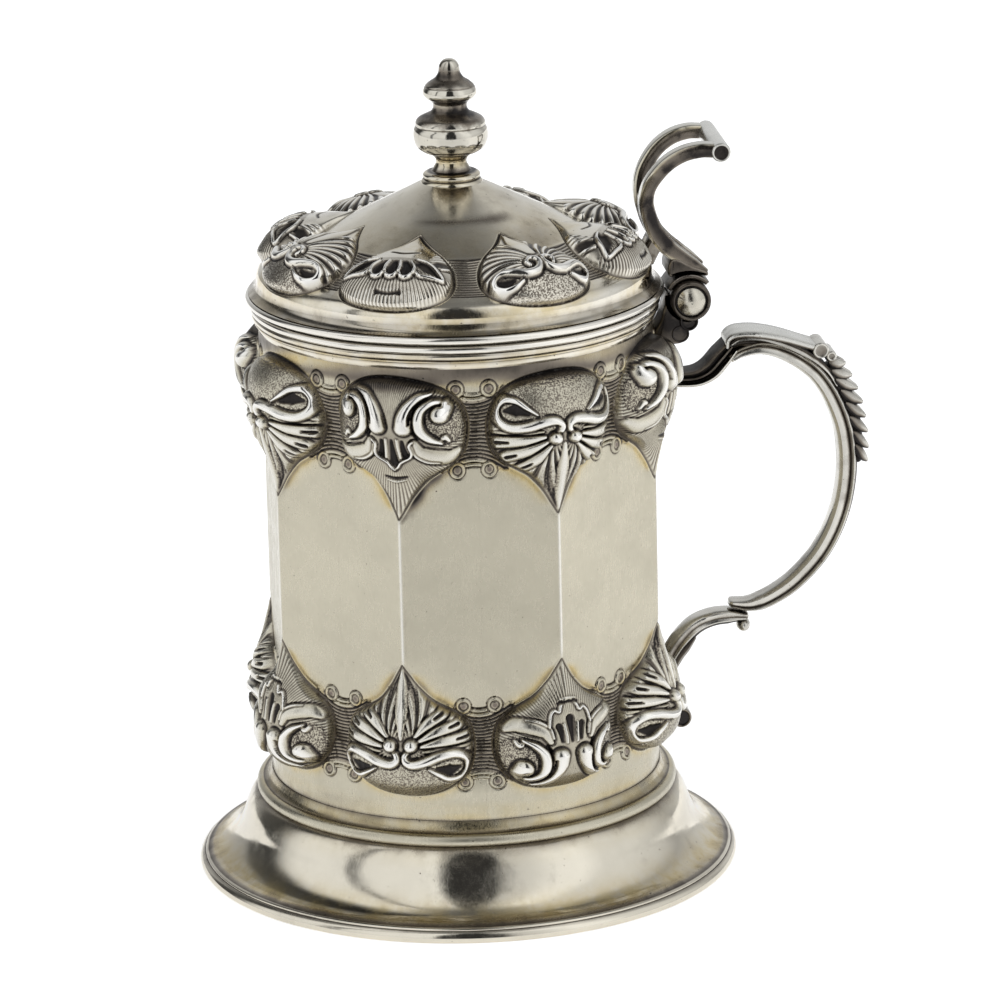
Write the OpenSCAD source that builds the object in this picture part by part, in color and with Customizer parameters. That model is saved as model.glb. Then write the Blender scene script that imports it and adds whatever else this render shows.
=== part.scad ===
// Lidded tankard with an octagonal chased body, a bell foot, a hinged lid and a scroll handle.
// Millimetres. +Z up, the handle reaches along +X, the origin is the centre of the foot on the table.

/* [Foot] */
// Radius of the foot's edge, where it rests on the table
foot_r = 66.3; // [65:0.1:67]
// Thickness of the spun foot sheet
foot_sheet = 1.4; // [1:0.1:1.8]

/* [Body] */
// Distance from the axis to a corner of the octagonal body
body_corner_r = 49.6; // [49:0.1:50]
// Radius of the plain round collars above and below the octagon
collar_r = 47.6; // [47:0.1:47.9]
// Thickness of the body wall
body_wall = 1.6; // [1.2:0.1:1.8]
// Height of the body's lower end, on the foot
body_base_z = 24.4; // [24:0.1:25]
// Height of the body's upper end, the drinking rim
body_rim_z = 141.5; // [141:0.1:141.8]

/* [Medallions] */
// Radius of the round part of a body medallion
medallion_r = 14.2; // [13.5:0.1:14.4]
// How far a body medallion stands out from the axis at its crown
medallion_crown_r = 55.0; // [54.5:0.1:55.4]
// Thickness of the embossed sheet in a medallion
medallion_sheet = 1.5; // [1.2:0.1:1.8]
// Radius of the round part of a lid medallion
lid_medallion_r = 15.0; // [14.5:0.1:15.4]

/* [Lid] */
// Radius of the lid's beaded edge
lid_bead_r = 50.5; // [50:0.1:50.8]
// Thickness of the lid sheet
lid_sheet = 1.4; // [1.1:0.1:1.7]
// Drop of the lid's cone for each millimetre of radius
lid_fall = 0.5; // [0.48:0.01:0.52]
// Height where the lid's cone would meet the axis
lid_apex_z = 173.8; // [173.5:0.1:174.2]

/* [Hinge] */
// Distance from the body's axis to the hinge pin
hinge_x = 56.5; // [56.3:0.1:56.8]
// Height of the hinge pin
hinge_z = 139.2; // [139:0.1:139.4]
// Radius of the hinge barrel
barrel_r = 4.9; // [4.7:0.1:5]
// Half of the hinge barrel's length
barrel_half = 8; // [7.6:0.1:8.4]
// Radius of the hinge pin
pin_r = 1.5; // [1.3:0.1:1.8]
// Radial clearance between the pin and the lid's knuckle
pin_clearance = 0.05; // [0.03:0.01:0.08]

/* [Thumbpiece] */
// Half of the thumbpiece's width at the hinge
thumb_half_low = 6; // [5.6:0.1:6.2]
// Half of the thumbpiece's width at the rolled crossbar
thumb_half_top = 13.5; // [13:0.1:14]
// Thickness of each thumbpiece rail
rail_thick = 3.2; // [2.8:0.1:3.4]
// Width of each thumbpiece rail
rail_width = 2.6; // [2.2:0.1:3]

/* [Handle] */
// Width of the handle scroll across its face
handle_width = 8; // [7:0.1:9]
// Thickness of the handle scroll at its shoulder
handle_thick = 4.8; // [4.4:0.1:5]
// Width of the thumb rest on top of the handle
rest_width = 10.5; // [9.5:0.1:11.5]

/* [Hidden] */
$fn = 96;

eps = 0.01;
joint_gap = 0.05;
silver = "#b9b5ab";
satin = "#a9a493";
oxidised = "#4b4640";

// Octagon
corners = 8;
corner_turn = 180 / corners;
body_flat_r = body_corner_r * cos(corner_turn);
body_inner_flat_r = body_flat_r - body_wall;
bore_r = collar_r - body_wall;

// Body heights
octagon_z = [36, 127];
collar_low_top = 34;
collar_high_base = 129;
low_band_z = [33, 50];
high_band_z = [111, 130];
band_r = body_flat_r + 1.1;
floor_thick = 1.6;

// Medallion heights: the centre of the round part and the pointed tip
low_medallion_z = 43.8;
low_tip_z = 63;
high_medallion_z = 121.6;
high_tip_z = 99.5;
medallion_axis_r = medallion_crown_r - medallion_r;
tip_r = body_flat_r - medallion_axis_r * cos(corner_turn) - 0.1;

// Lid heights
lid_skirt_z = 144.2;
lid_shoulder_z = 148;
lid_shoulder_r = 47.8;
lid_bead_z = [142.2, 144.2];
lid_wire_inner_r = 45.6;
bezel_r = bore_r - 0.8;
bezel_z = [139, lid_bead_z[0]];
lid_medallion_sink = 9.5;
lid_medallion_base_r = 36.6;
lid_slope = atan(lid_fall);
lid_edge_round = 0.9;
lid_edge_turn = 2.2;
lid_crown_r = 3;

// Finial
finial_hole_r = 2.2;
finial_collar_r = 7.4;
collar_base_z = lid_apex_z - lid_fall * finial_collar_r - 1.2;
collar_tall = 4;
spindle_r = 1.9;
spindle_end = 1.2;
finial_tip_z = 200;
washer_r = 4.6;
washer_thick = 1.6;
nut_r = 4.2;
nut_tall = 3;

// Hinge and saddle
knuckle_gap = 0.2;
lid_knuckle_half = 3;
saddle_clear_r = barrel_r + 0.45;
cap_r = 3.4;
cap_thick = 1.6;

// ---- curves and bands -------------------------------------------------------------------------

// A point on the smooth curve that passes through p, in span i, at t from 0 to 1.
function spline_point(p, i, t) =
    let (last = len(p) - 1,
         a = p[max(i - 1, 0)], b = p[i], c = p[min(i + 1, last)], d = p[min(i + 2, last)])
    0.5 * (2 * b + (c - a) * t + (2 * a - 5 * b + 4 * c - d) * t * t
           + (3 * b - a - 3 * c + d) * t * t * t);

// The smooth curve through p with the given number of steps in each span.
function spline(p, steps) =
    concat([for (i = [0 : len(p) - 2]) for (k = [0 : steps - 1]) spline_point(p, i, k / steps)],
           [p[len(p) - 1]]);

// Direction of the curve at point i.
function heading(p, i) =
    let (v = p[min(i + 1, len(p) - 1)] - p[max(i - 1, 0)])
    v / norm(v);

// A size part of the way along a curve: a function of the fraction t, or [start, end].
function along(size, t) = is_function(size) ? size(t) : size[0] + (size[1] - size[0]) * t;

// Rounded-rectangle factor: a unit square with soft corners.
function soft(value) = sign(value) * pow(abs(value), 0.55);

// A solid band that follows a curve in the XZ plane. thick is measured in that plane and width
// along Y. side moves the band along Y.
module band(path, thick, width, side = [0, 0], points = 16) {
    n = len(path) - 1;
    rings = [for (i = [0 : n])
        let (d = heading(path, i), normal = [-d[1], d[0]])
        for (k = [0 : points - 1])
            let (a = 360 * (k + 0.5) / points,
                 off = normal * soft(cos(a)) * along(thick, i / n) / 2,
                 y = soft(sin(a)) * along(width, i / n) / 2 + along(side, i / n))
            [path[i][0] + off[0], y, path[i][1] + off[1]]];
    sides = [for (i = [0 : n - 1]) for (k = [0 : points - 1])
        let (next = (k + 1) % points)
        [i * points + k, (i + 1) * points + k, (i + 1) * points + next, i * points + next]];
    caps = [[for (k = [0 : points - 1]) k], [for (k = [points - 1 : -1 : 0]) n * points + k]];
    polyhedron(points = rings, faces = concat(sides, caps), convexity = 8);
}

// A ring turned about the Z axis from a list of [radius, height] points.
module turned(profile) {
    rotate_extrude() polygon(profile);
}

// A cylinder lying along Y between two values of y, centred on the hinge pin.
module across_hinge(r, y0, y1) {
    translate([hinge_x, y1, hinge_z]) rotate([90, 0, 0]) cylinder(r = r, h = y1 - y0);
}

// A side view in the XZ plane, given thickness along Y.
module side_plate(half) {
    translate([0, half, 0]) rotate([90, 0, 0]) linear_extrude(2 * half) children();
}

// ---- foot -------------------------------------------------------------------------------------

skirt_outer = [[62.6, 4.1], [60.6, 5.0], [57.6, 7.4], [55.4, 10.4], [54.4, 13.4], [53.2, 16.4],
               [51.9, 18.2], [50.9, 18.9]];

module foot_edge_wire() {
    color(silver) turned([[61.6, 0], [foot_r, 0], [foot_r, 1.0], [65.0, 1.9], [64.4, 2.2], [64.4, 3.3],
                          [63.4, 4.1], [61.6, 4.1]]);
}

module foot_skirt() {
    inner = [for (i = [len(skirt_outer) - 1 : -1 : 0]) skirt_outer[i] - [foot_sheet, 0]];
    color(silver) turned(concat(skirt_outer, inner));
}

module foot_step_ring() {
    color(silver) turned([[46.4, 18.9], [50.9, 18.9], [51.6, 19.3], [51.7, 20.0], [51.6, 20.7],
                          [50.8, 21.6], [49.4, 22.2], [48.4, 23.2], [47.8, body_base_z],
                          [43.5, body_base_z], [43.5, 22.4], [46.4, 22.4]]);
}

// ---- body -------------------------------------------------------------------------------------

module ring(r, z) {
    translate([0, 0, z[0]]) cylinder(r = r, h = z[1] - z[0]);
}

module octagon(flat_r, z) {
    translate([0, 0, z[0]]) rotate(corner_turn)
        cylinder(r = flat_r / cos(corner_turn), h = z[1] - z[0], $fn = corners);
}

// One medallion on a corner: a round boss that narrows to a point at tip_z.
module medallion(centre_z, tip_z) {
    translate([medallion_axis_r, 0, centre_z]) {
        sphere(r = medallion_r);
        mirror([0, 0, tip_z < centre_z ? 1 : 0])
            cylinder(r1 = medallion_r - 0.4, r2 = tip_r, h = abs(tip_z - centre_z));
    }
}

module on_each_corner() {
    for (i = [0 : corners - 1]) rotate(corner_turn + i * 360 / corners) children();
}

module body_floor() {
    color(satin) ring(bore_r - joint_gap, [body_base_z, body_base_z + floor_thick]);
}

module body_shell() {
    color(satin) difference() {
        union() {
            octagon(body_flat_r, octagon_z);
            ring(collar_r, [body_base_z, collar_low_top]);
            ring(collar_r, [collar_high_base, body_rim_z]);
            ring(band_r, low_band_z);
            ring(band_r, high_band_z);
            on_each_corner() {
                medallion(low_medallion_z, low_tip_z);
                medallion(high_medallion_z, high_tip_z);
            }
        }
        octagon(body_inner_flat_r, [octagon_z[0] + 1, octagon_z[1] - 1]);
        ring(bore_r, [body_base_z - 1, collar_low_top + 4]);
        ring(bore_r, [collar_high_base - 4, body_rim_z + 1]);
        on_each_corner() for (z = [low_medallion_z, high_medallion_z])
            translate([medallion_axis_r, 0, z]) sphere(r = medallion_r - medallion_sheet);
    }
}

// Three reeds round the outside of the drinking rim.
module rim_moulding() {
    reed = 1.9;
    base = body_rim_z - 3 * reed;
    color(silver) for (i = [0 : 2]) translate([0, 0, base + i * reed])
        turned([[collar_r + joint_gap, 0], [48.9, 0], [49.4, 0.4], [49.5, 0.95], [49.4, 1.5],
                [48.9, reed], [collar_r + joint_gap, reed]]);
}

// ---- hinge ------------------------------------------------------------------------------------

// The cast bracket on the body: a shield that passes close to the rim, three steps and a pointed tail.
module hinge_bracket() {
    color(oxidised) difference() {
        union() {
            side_plate(4.6) polygon([[51.3, 142.2], [51.1, 138.6], [50.3, 135.2], [48.9, 132.8],
                                     [48.0, 131.2], [48.0, 127], [52.4, 127.4], [54.4, 128.1],
                                     [56.1, 129], [56.5, 130.9], [56.7, 131.5], [58.0, 132.1],
                                     [58.7, 133.3], [58.4, 134.8], [56.5, 137], [52.6, 142.2]]);
            side_plate(2.4) polygon([[47.0, 130], [47.0, 121.4], [48.4, 122.4], [52.6, 127.6],
                                     [52.6, 130]]);
        }
        across_hinge(barrel_r + joint_gap, -20, 20);
    }
}

module body_knuckle(y0, y1) {
    color(oxidised) difference() {
        across_hinge(barrel_r, y0, y1);
        across_hinge(pin_r + 0.01, y0 - 1, y1 + 1);
    }
}

module body_knuckle_front() { body_knuckle(-barrel_half, -lid_knuckle_half - knuckle_gap); }

module body_knuckle_back() { body_knuckle(lid_knuckle_half + knuckle_gap, barrel_half); }

module hinge_pin() {
    color(silver) across_hinge(pin_r, -barrel_half, barrel_half);
}

// Domed head that closes one end of the barrel.
module pin_cap() {
    dome_r = (cap_r * cap_r + cap_thick * cap_thick) / (2 * cap_thick);
    color(silver) translate([hinge_x, -barrel_half, hinge_z]) rotate([90, 0, 0]) intersection() {
        translate([0, 0, cap_thick - dome_r]) sphere(r = dome_r);
        cylinder(r = cap_r, h = cap_thick + 1);
    }
}

module pin_cap_front() { pin_cap(); }

module pin_cap_back() { mirror([0, 1, 0]) pin_cap(); }

// ---- handle -----------------------------------------------------------------------------------

// Control points are [x, z] in the handle's own plane.
strut_route = [[46.95, 117.8], [52.5, 117.2], [57.0, 117.2], [61.0, 119.2], [64.4, 123.4]];
scroll_route = [[66.6, 124.8], [71.0, 126.0], [77.0, 125.0], [83.0, 122.2], [88.4, 117.6], [92.6, 111.0],
                [95.4, 102.0], [95.9, 92.0], [93.6, 82.0], [89.0, 72.6], [82.0, 65.0], [75.0, 61.2],
                [69.4, 60.6]];
rest_route = [[63.6, 126.0], [65.4, 128.4], [69.0, 129.2], [76.0, 128.4], [83.0, 126.4], [87.8, 124.9]];
leaf_route = [[92.3, 122.4], [96.0, 117.4], [98.9, 110.4], [100.0, 103.0], [100.1, 96.8]];
lower_route = [[68.6, 57.0], [64.0, 57.2], [58.6, 55.0], [54.0, 50.6], [50.4, 45.4], [49.2, 40.6],
               [49.9, 36.4], [51.9, 33.9]];
rest_roll_at = [89.9, 124.2];
rest_roll_r = 2.0;
lower_roll_at = [53.9, 32.3];
lower_roll_r = 2.4;
lower_roll_half = 3.6;
pip_at = [70.3, 55.8];
pip_r = 1.5;
pip_half = 3.2;

module handle_upper_strut() {
    color(oxidised) band(spline(strut_route, 5), [3.6, 4.8], [handle_width, handle_width]);
}

module handle_scroll() {
    color(silver) band(spline(scroll_route, 4), [handle_thick, 4.2], [handle_width, 6.6]);
}

// The bracket that ties the strut to the start of the scroll, let into both.
module handle_web() {
    color(oxidised) side_plate(3.4)
        polygon([[63.6, 123.4], [65.6, 120.9], [68.6, 121.6], [70.6, 123.9], [67.4, 125.4], [65.0, 124.9]]);
}

module handle_thumb_rest() {
    color(silver) band(spline(rest_route, 4), [1.5, 1.5], [rest_width, rest_width]);
}

module roll(at, r, half) {
    translate([at[0], half, at[1]]) rotate([90, 0, 0]) cylinder(r = r, h = 2 * half);
}

module thumb_rest_roll() {
    color(silver) roll(rest_roll_at, rest_roll_r, rest_width / 2);
}

// A leaf of eight lobes laid along the outside of the scroll, its edge scalloped lobe by lobe.
module handle_leaf() {
    lobes = 8;
    scallop = function (t) abs(sin(180 * lobes * t));
    color(silver)
        band(spline(leaf_route, lobes),
             thick = function (t) 2.6 - 1.2 * t + 0.6 * scallop(t),
             width = function (t) handle_width * (1.08 - 0.5 * t) + 0.9 * scallop(t),
             points = 12);
}

module handle_lower_strut() {
    color(silver) band(spline(lower_route, 4), [3.2, 2.8], [6.4, 6.4]);
}

module lower_scroll_roll() {
    color(oxidised) roll(lower_roll_at, lower_roll_r, lower_roll_half);
}

module handle_pip() {
    color(silver) roll(pip_at, pip_r, pip_half);
}

// ---- lid --------------------------------------------------------------------------------------

function cone_z(r) = lid_apex_z - lid_fall * r;

// Height of the cone when its surface is moved inwards by depth.
function sunk_cone_z(r, depth) = cone_z(r) - depth / cos(lid_slope);

// The lid's smooth outside, from the skirt over the shoulder to the finial, moved inwards by depth.
function lid_outline(depth) =
    let (shoulder = lid_shoulder_r - depth,
         round_r = shoulder - lid_edge_round,
         cone_r = shoulder - lid_edge_turn)
    [[shoulder + 0.2, lid_skirt_z], [shoulder, lid_skirt_z + 1.4], [shoulder, lid_shoulder_z - depth],
     [round_r, sunk_cone_z(round_r, depth) - lid_edge_round / 2], [cone_r, sunk_cone_z(cone_r, depth)],
     [lid_crown_r, sunk_cone_z(lid_crown_r, depth)]];

washer_top_z = sunk_cone_z(washer_r, lid_sheet) - joint_gap;

module lid_medallions(sheet) {
    centre = [lid_medallion_base_r - lid_medallion_sink * sin(lid_slope),
              cone_z(lid_medallion_base_r) - lid_medallion_sink * cos(lid_slope)];
    on_each_corner() translate([centre[0], 0, centre[1]]) sphere(r = lid_medallion_r - sheet);
}

module lid_dome() {
    outside = lid_outline(0);
    inside = lid_outline(lid_sheet);
    color(silver) difference() {
        union() {
            turned(concat([[0, lid_skirt_z]], outside, [[0, cone_z(lid_crown_r)]]));
            intersection() {
                lid_medallions(0);
                ring(lid_shoulder_r, [lid_skirt_z, finial_tip_z]);
            }
        }
        turned(concat([[0, lid_skirt_z - 1], [lid_shoulder_r - lid_sheet + 0.2, lid_skirt_z - 1]], inside,
                      [[0, sunk_cone_z(lid_crown_r, lid_sheet)]]));
        lid_medallions(lid_sheet);
        cylinder(r = finial_hole_r, h = finial_tip_z);
    }
}

module lid_rim_wire() {
    color(silver) turned([[lid_wire_inner_r, lid_bead_z[0]], [lid_bead_r - 0.5, lid_bead_z[0]],
                          [lid_bead_r, lid_bead_z[0] + 0.6], [lid_bead_r, lid_bead_z[1] - 0.9],
                          [lid_bead_r - 0.8, lid_bead_z[1] - 0.2], [lid_bead_r - 1.6, lid_bead_z[1]],
                          [lid_wire_inner_r, lid_bead_z[1]]]);
}

// The collar under the lid that drops inside the drinking rim.
module lid_bezel() {
    color(satin) turned([[bezel_r - 1.2, bezel_z[0]], [bezel_r, bezel_z[0]], [bezel_r, bezel_z[1]],
                         [bezel_r - 1.2, bezel_z[1]]]);
}

module finial_collar() {
    base = collar_base_z;
    color(silver) difference() {
        turned([[0, base - 0.6], [6.6, base], [finial_collar_r, base + 0.5], [7.5, base + 1.2],
                [7.1, base + 1.9], [6.6, base + 2.1], [6.9, base + 2.6], [6.8, base + 3.4],
                [5.6, base + collar_tall], [0, base + collar_tall]]);
        cylinder(r = spindle_r + joint_gap, h = finial_tip_z);
        turned([[0, 0], [60, 0], [60, cone_z(60) + joint_gap], [0, cone_z(0) + joint_gap]]);
    }
}

// A turned baluster on a spindle that passes through the lid.
module finial() {
    foot = collar_base_z + collar_tall;
    color(silver) union() {
        turned([[0, foot], [5.0, foot], [4.4, foot + 1.0], [3.8, 175.4], [4.3, 176.6], [5.6, 177.4],
                [8.0, 178.6], [8.8, 180.0], [9.0, 181.6], [8.9, 183.2], [8.5, 184.0], [8.3, 184.6],
                [8.1, 185.3], [6.6, 186.2], [4.9, 187.0], [4.2, 188.2], [4.3, 189.4], [5.2, 190.3],
                [6.3, 191.2], [6.4, 192.0], [6.0, 193.0], [4.6, 194.4], [3.2, 195.4], [2.5, 196.4],
                [2.4, 197.0], [2.6, 197.8], [2.2, 198.8], [1.2, 199.7], [0, finial_tip_z]]);
        ring(spindle_r, [washer_top_z - washer_thick - nut_tall - spindle_end, foot + eps]);
    }
}

// The washer's edge bears on the inside of the cone.
module finial_washer() {
    color(satin) difference() {
        ring(washer_r, [washer_top_z - washer_thick, washer_top_z]);
        ring(spindle_r + joint_gap, [body_rim_z, finial_tip_z]);
    }
}

module finial_nut() {
    color(satin) difference() {
        translate([0, 0, washer_top_z - washer_thick - nut_tall]) cylinder(r = nut_r, h = nut_tall, $fn = 6);
        ring(spindle_r + joint_gap, [body_rim_z, finial_tip_z]);
    }
}

module lid_knuckle() {
    color(oxidised) difference() {
        union() {
            across_hinge(barrel_r, -lid_knuckle_half, lid_knuckle_half);
            side_plate(lid_knuckle_half) polygon([[53.2, 142.6], [59.8, 142.6], [59.8, 145], [53.2, 145]]);
        }
        across_hinge(pin_r + pin_clearance, -20, 20);
    }
}

// The moulded block over the barrel that carries the thumbpiece.
module hinge_saddle() {
    color(oxidised) difference() {
        side_plate(thumb_half_low) polygon([[50.9, 147.4], [51.1, 145.6], [51.9, 144.2], [60.6, 143.6],
                                            [61.2, 144.6], [60.7, 145.7], [57.4, 147.3], [54.4, 149.0],
                                            [52.4, 149.6]]);
        across_hinge(saddle_clear_r, -20, 20);
        side_plate(lid_knuckle_half + joint_gap)
            polygon([[53.15, 140], [59.85, 140], [59.85, 145.05], [53.15, 145.05]]);
    }
}

// Control points of the thumbpiece, from the saddle over the lid's edge and up to the crossbar.
thumb_route = [[60.4, 147.3], [56.8, 149.6], [52.6, 152.0], [49.0, 155.2], [47.0, 159.4], [46.2, 163.6],
               [46.6, 167.4], [48.4, 170.8], [51.2, 174.0], [54.8, 176.4], [58.6, 177.7], [61.2, 177.9]];
crossbar_at = [63.4, 176.9];
crossbar_r = 2.4;

// Two rails that part from a solid root, and a leg that stands on the lid.
module thumbpiece() {
    rail = spline(thumb_route, 2);
    near = thumb_half_low - rail_width / 2;
    far = thumb_half_top - rail_width / 2;
    color(oxidised) difference() {
        union() {
            for (s = [-1, 1])
                band(rail, [rail_thick, rail_thick], [rail_width, rail_width], [s * near, s * far], 10);
            band(spline([[50.2, 154.6], [48.0, 151.6], [46.4, 148.2]], 3), [4.0, 3.6], [12, 9]);
        }
        turned([[0, 100], [lid_shoulder_r + joint_gap, 100],
                [lid_shoulder_r + joint_gap, lid_shoulder_z], [lid_shoulder_r - 2.2, cone_z(45.6) + joint_gap],
                [0, cone_z(0) + joint_gap]]);
    }
}

module thumbpiece_crossbar() {
    color(oxidised) roll(crossbar_at, crossbar_r, thumb_half_top);
}

foot_edge_wire();
foot_skirt();
foot_step_ring();
body_floor();
body_shell();
rim_moulding();
hinge_bracket();
body_knuckle_front();
body_knuckle_back();
hinge_pin();
pin_cap_front();
pin_cap_back();
handle_upper_strut();
handle_scroll();
handle_web();
handle_thumb_rest();
thumb_rest_roll();
handle_leaf();
handle_lower_strut();
lower_scroll_roll();
handle_pip();
lid_dome();
lid_rim_wire();
lid_bezel();
finial_collar();
finial();
finial_washer();
finial_nut();
lid_knuckle();
hinge_saddle();
thumbpiece();
thumbpiece_crossbar();
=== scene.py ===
"""Looks for the lidded tankard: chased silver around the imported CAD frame.

Every shape below is worked out in millimetres in the CAD's own frame and written to Blender in metres.
"""

import math

import bpy
import numpy as np
from mathutils import Matrix, Vector


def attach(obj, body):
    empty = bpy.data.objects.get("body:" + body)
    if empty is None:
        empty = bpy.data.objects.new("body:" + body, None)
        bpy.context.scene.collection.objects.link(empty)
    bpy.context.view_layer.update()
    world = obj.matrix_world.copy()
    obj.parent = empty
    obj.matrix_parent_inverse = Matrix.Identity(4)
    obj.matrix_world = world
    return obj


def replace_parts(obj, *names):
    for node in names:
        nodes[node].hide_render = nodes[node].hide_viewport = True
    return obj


MM = 0.001
TANKARD, LID = "tankard", "lid"

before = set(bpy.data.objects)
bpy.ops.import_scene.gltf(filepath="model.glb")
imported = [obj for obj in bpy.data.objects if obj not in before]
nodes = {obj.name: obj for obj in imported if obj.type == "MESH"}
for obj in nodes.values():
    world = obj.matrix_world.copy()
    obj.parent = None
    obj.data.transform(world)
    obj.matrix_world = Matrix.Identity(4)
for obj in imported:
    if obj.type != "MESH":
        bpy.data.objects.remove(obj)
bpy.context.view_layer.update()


# ---- relief: ornament worked out on a flat grid, in millimetres -----------------------------------

def smooth_path(points, steps=10):
    """The smooth curve through the points."""
    p = np.asarray(points, float)
    p = np.vstack([2 * p[0] - p[1], p, 2 * p[-1] - p[-2]])
    t = np.linspace(0, 1, steps, endpoint=False)[:, None]
    spans = [0.5 * (2 * b + (c - a) * t + (2 * a - 5 * b + 4 * c - d) * t ** 2
                    + (3 * b - a - 3 * c + d) * t ** 3)
             for a, b, c, d in zip(p[:-3], p[1:-2], p[2:-1], p[3:])]
    return np.vstack(spans + [p[-2:-1]])


def read_along(values, place):
    """The value at a place from 0 to 1 along a route, from values spread evenly over it."""
    return np.interp(place, np.linspace(0, 1, len(values)), values)


def smoothstep(low, high, value):
    t = np.clip((value - low) / (high - low), 0, 1)
    return t * t * (3 - 2 * t)


def line_at(value, at, width):
    """A soft line: 1 where the value is at, falling away over the width."""
    return np.exp(-((value - at) / width) ** 2)


def blur(field, sigma):
    """Gaussian blur of a grid, sigma in cells."""
    reach = int(3 * sigma) + 1
    weights = np.exp(-0.5 * (np.arange(-reach, reach + 1) / sigma) ** 2)
    weights /= weights.sum()
    for axis in (0, 1):
        pad = [(reach, reach) if a == axis else (0, 0) for a in (0, 1)]
        wide = np.pad(field, pad, mode="edge")
        size = field.shape[axis]
        field = sum(w * wide.take(range(i, i + size), axis) for i, w in enumerate(weights))
    return field


class Tile:
    """rise is height in mm, tone runs from -1 (oxidised, with painted shade) to 1 (burnished, with painted
    highlight), grain marks stippled ground.
    """
    STEP = 0.1
    DOT = 1e-3

    def __init__(self, half, low, high):
        self.half, self.low = half, low
        across = np.arange(-half, half + self.STEP / 2, self.STEP)
        along = np.arange(low, high + self.STEP / 2, self.STEP)
        self.x, self.y = np.meshgrid(across, along)
        self.rise = np.zeros_like(self.x)
        self.tone = np.zeros_like(self.x)
        self.grain = np.zeros_like(self.x)

    def near(self, path, reach):
        """The window of the grid around a path, with each cell's distance to it and place along it."""
        low, high = path.min(0) - reach, path.max(0) + reach
        first = np.maximum(((low - (-self.half, self.low)) / self.STEP).astype(int), 0)
        last = ((high - (-self.half, self.low)) / self.STEP).astype(int) + 2
        window = (slice(first[1], max(last[1], 0)), slice(first[0], max(last[0], 0)))
        x, y = self.x[window], self.y[window]
        best = np.full(x.shape, 1e9)
        place = np.zeros(x.shape)
        count = len(path) - 1
        for i in range(count):
            a, d = path[i], path[i + 1] - path[i]
            t = np.clip(((x - a[0]) * d[0] + (y - a[1]) * d[1]) / (d @ d + 1e-12), 0, 1)
            gap = np.hypot(x - a[0] - t * d[0], y - a[1] - t * d[1])
            closer = gap < best
            best = np.where(closer, gap, best)
            place = np.where(closer, (i + t) / count, place)
        return window, best, place

    def lay(self, points, width, height, tone=0.8, groove=0.5, depth=0.35, mirror=True):
        """A round-backed ribbon, bead or horn with a chased groove round it. A negative height sinks it."""
        for side in (1, -1) if mirror else (1,):
            spots = np.asarray(points, float) * (side, 1)
            path = smooth_path(spots) if len(spots) > 1 else np.vstack([spots, spots + (0, self.DOT)])
            window, gap, place = self.near(path, max(width) + groove)
            half = read_along(width, place)
            dome = np.sqrt(np.clip(1 - (gap / half) ** 2, 0, 1))
            inside = gap < half
            lip = np.clip(1 - (gap - half) / groove, 0, 1) * ~inside
            share = np.sqrt(half / max(width))
            rise, shade = self.rise[window], self.tone[window]
            rise = np.where(inside, height * share * dome, rise - depth * lip)
            # On a raised ribbon the tone is a painted highlight along the crest and painted shade down the flanks.
            edge = tone * (1.35 * dome ** 1.5 - 0.35) if height > 0 else tone * np.minimum(1, 1.6 * dome)
            self.tone[window] = np.where(inside, edge, shade - 1.1 * lip)
            self.rise[window] = rise
            self.grain[window] = np.where(inside, 0, self.grain[window] * (1 - lip))

    def rays(self, where, centre, pitch, height, twist=0.0, sharp=1.0, tone=0.6, start=0.0):
        """Flutes or hatching that fan out from a centre. pitch is in degrees."""
        dx, dy = np.abs(self.x) - centre[0], self.y - centre[1]
        reach = np.hypot(dx, dy)
        angle = np.degrees(np.arctan2(dy, dx)) + twist * reach
        wave = np.cos(2 * np.pi * angle / pitch)
        wave = np.sign(wave) * np.abs(wave) ** sharp
        fade = smoothstep(start, start + 2.5, reach) * where
        self.rise += height * wave * fade
        self.tone += tone * wave * fade

    def at(self, field, x, y):
        """Reads a field of the tile at places x, y."""
        u = np.clip((x + self.half) / self.STEP, 0, field.shape[1] - 1.001)
        v = np.clip((y - self.low) / self.STEP, 0, field.shape[0] - 1.001)
        i, j = v.astype(int), u.astype(int)
        fu, fv = u - j, v - i
        return ((field[i, j] * (1 - fu) + field[i, j + 1] * fu) * (1 - fv)
                + (field[i + 1, j] * (1 - fu) + field[i + 1, j + 1] * fu) * fv)


# Half of each medallion's outline, from the tip to the middle of its round end, [across, along].
BODY_OUTLINE = [(0, 0), (1.5, 2.6), (3.4, 5.6), (6.6, 9.2), (10, 11.4), (13.2, 13.2), (15.7, 16), (16.8, 20),
                (16.8, 24), (15.4, 28.2), (12.2, 31.4), (7, 33.5), (0, 34.2)]
LID_OUTLINE = [(0, 0), (1.6, 2.0), (4.0, 4.3), (8, 7.2), (11.2, 10.6), (13.2, 14.6), (13.6, 18), (12.6, 21.4),
               (9.8, 24.2), (5.4, 26), (0, 26.6)]


def half_width(outline, along):
    path = smooth_path(outline)
    order = np.maximum.accumulate(path[:, 1])
    return np.interp(along, order, np.maximum(path[:, 0], 0), left=0, right=0)


def outline_gap(tile, outline):
    """Signed distance to the outline, positive inside."""
    half = np.asarray(outline, float)
    path = smooth_path(np.vstack([half * (-1, 1), half[-2::-1]]), 8)
    _, gap, _ = tile.near(path, 60)
    inside = np.abs(tile.x) < half_width(outline, tile.y)
    return np.where(inside, gap, -gap)


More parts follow.
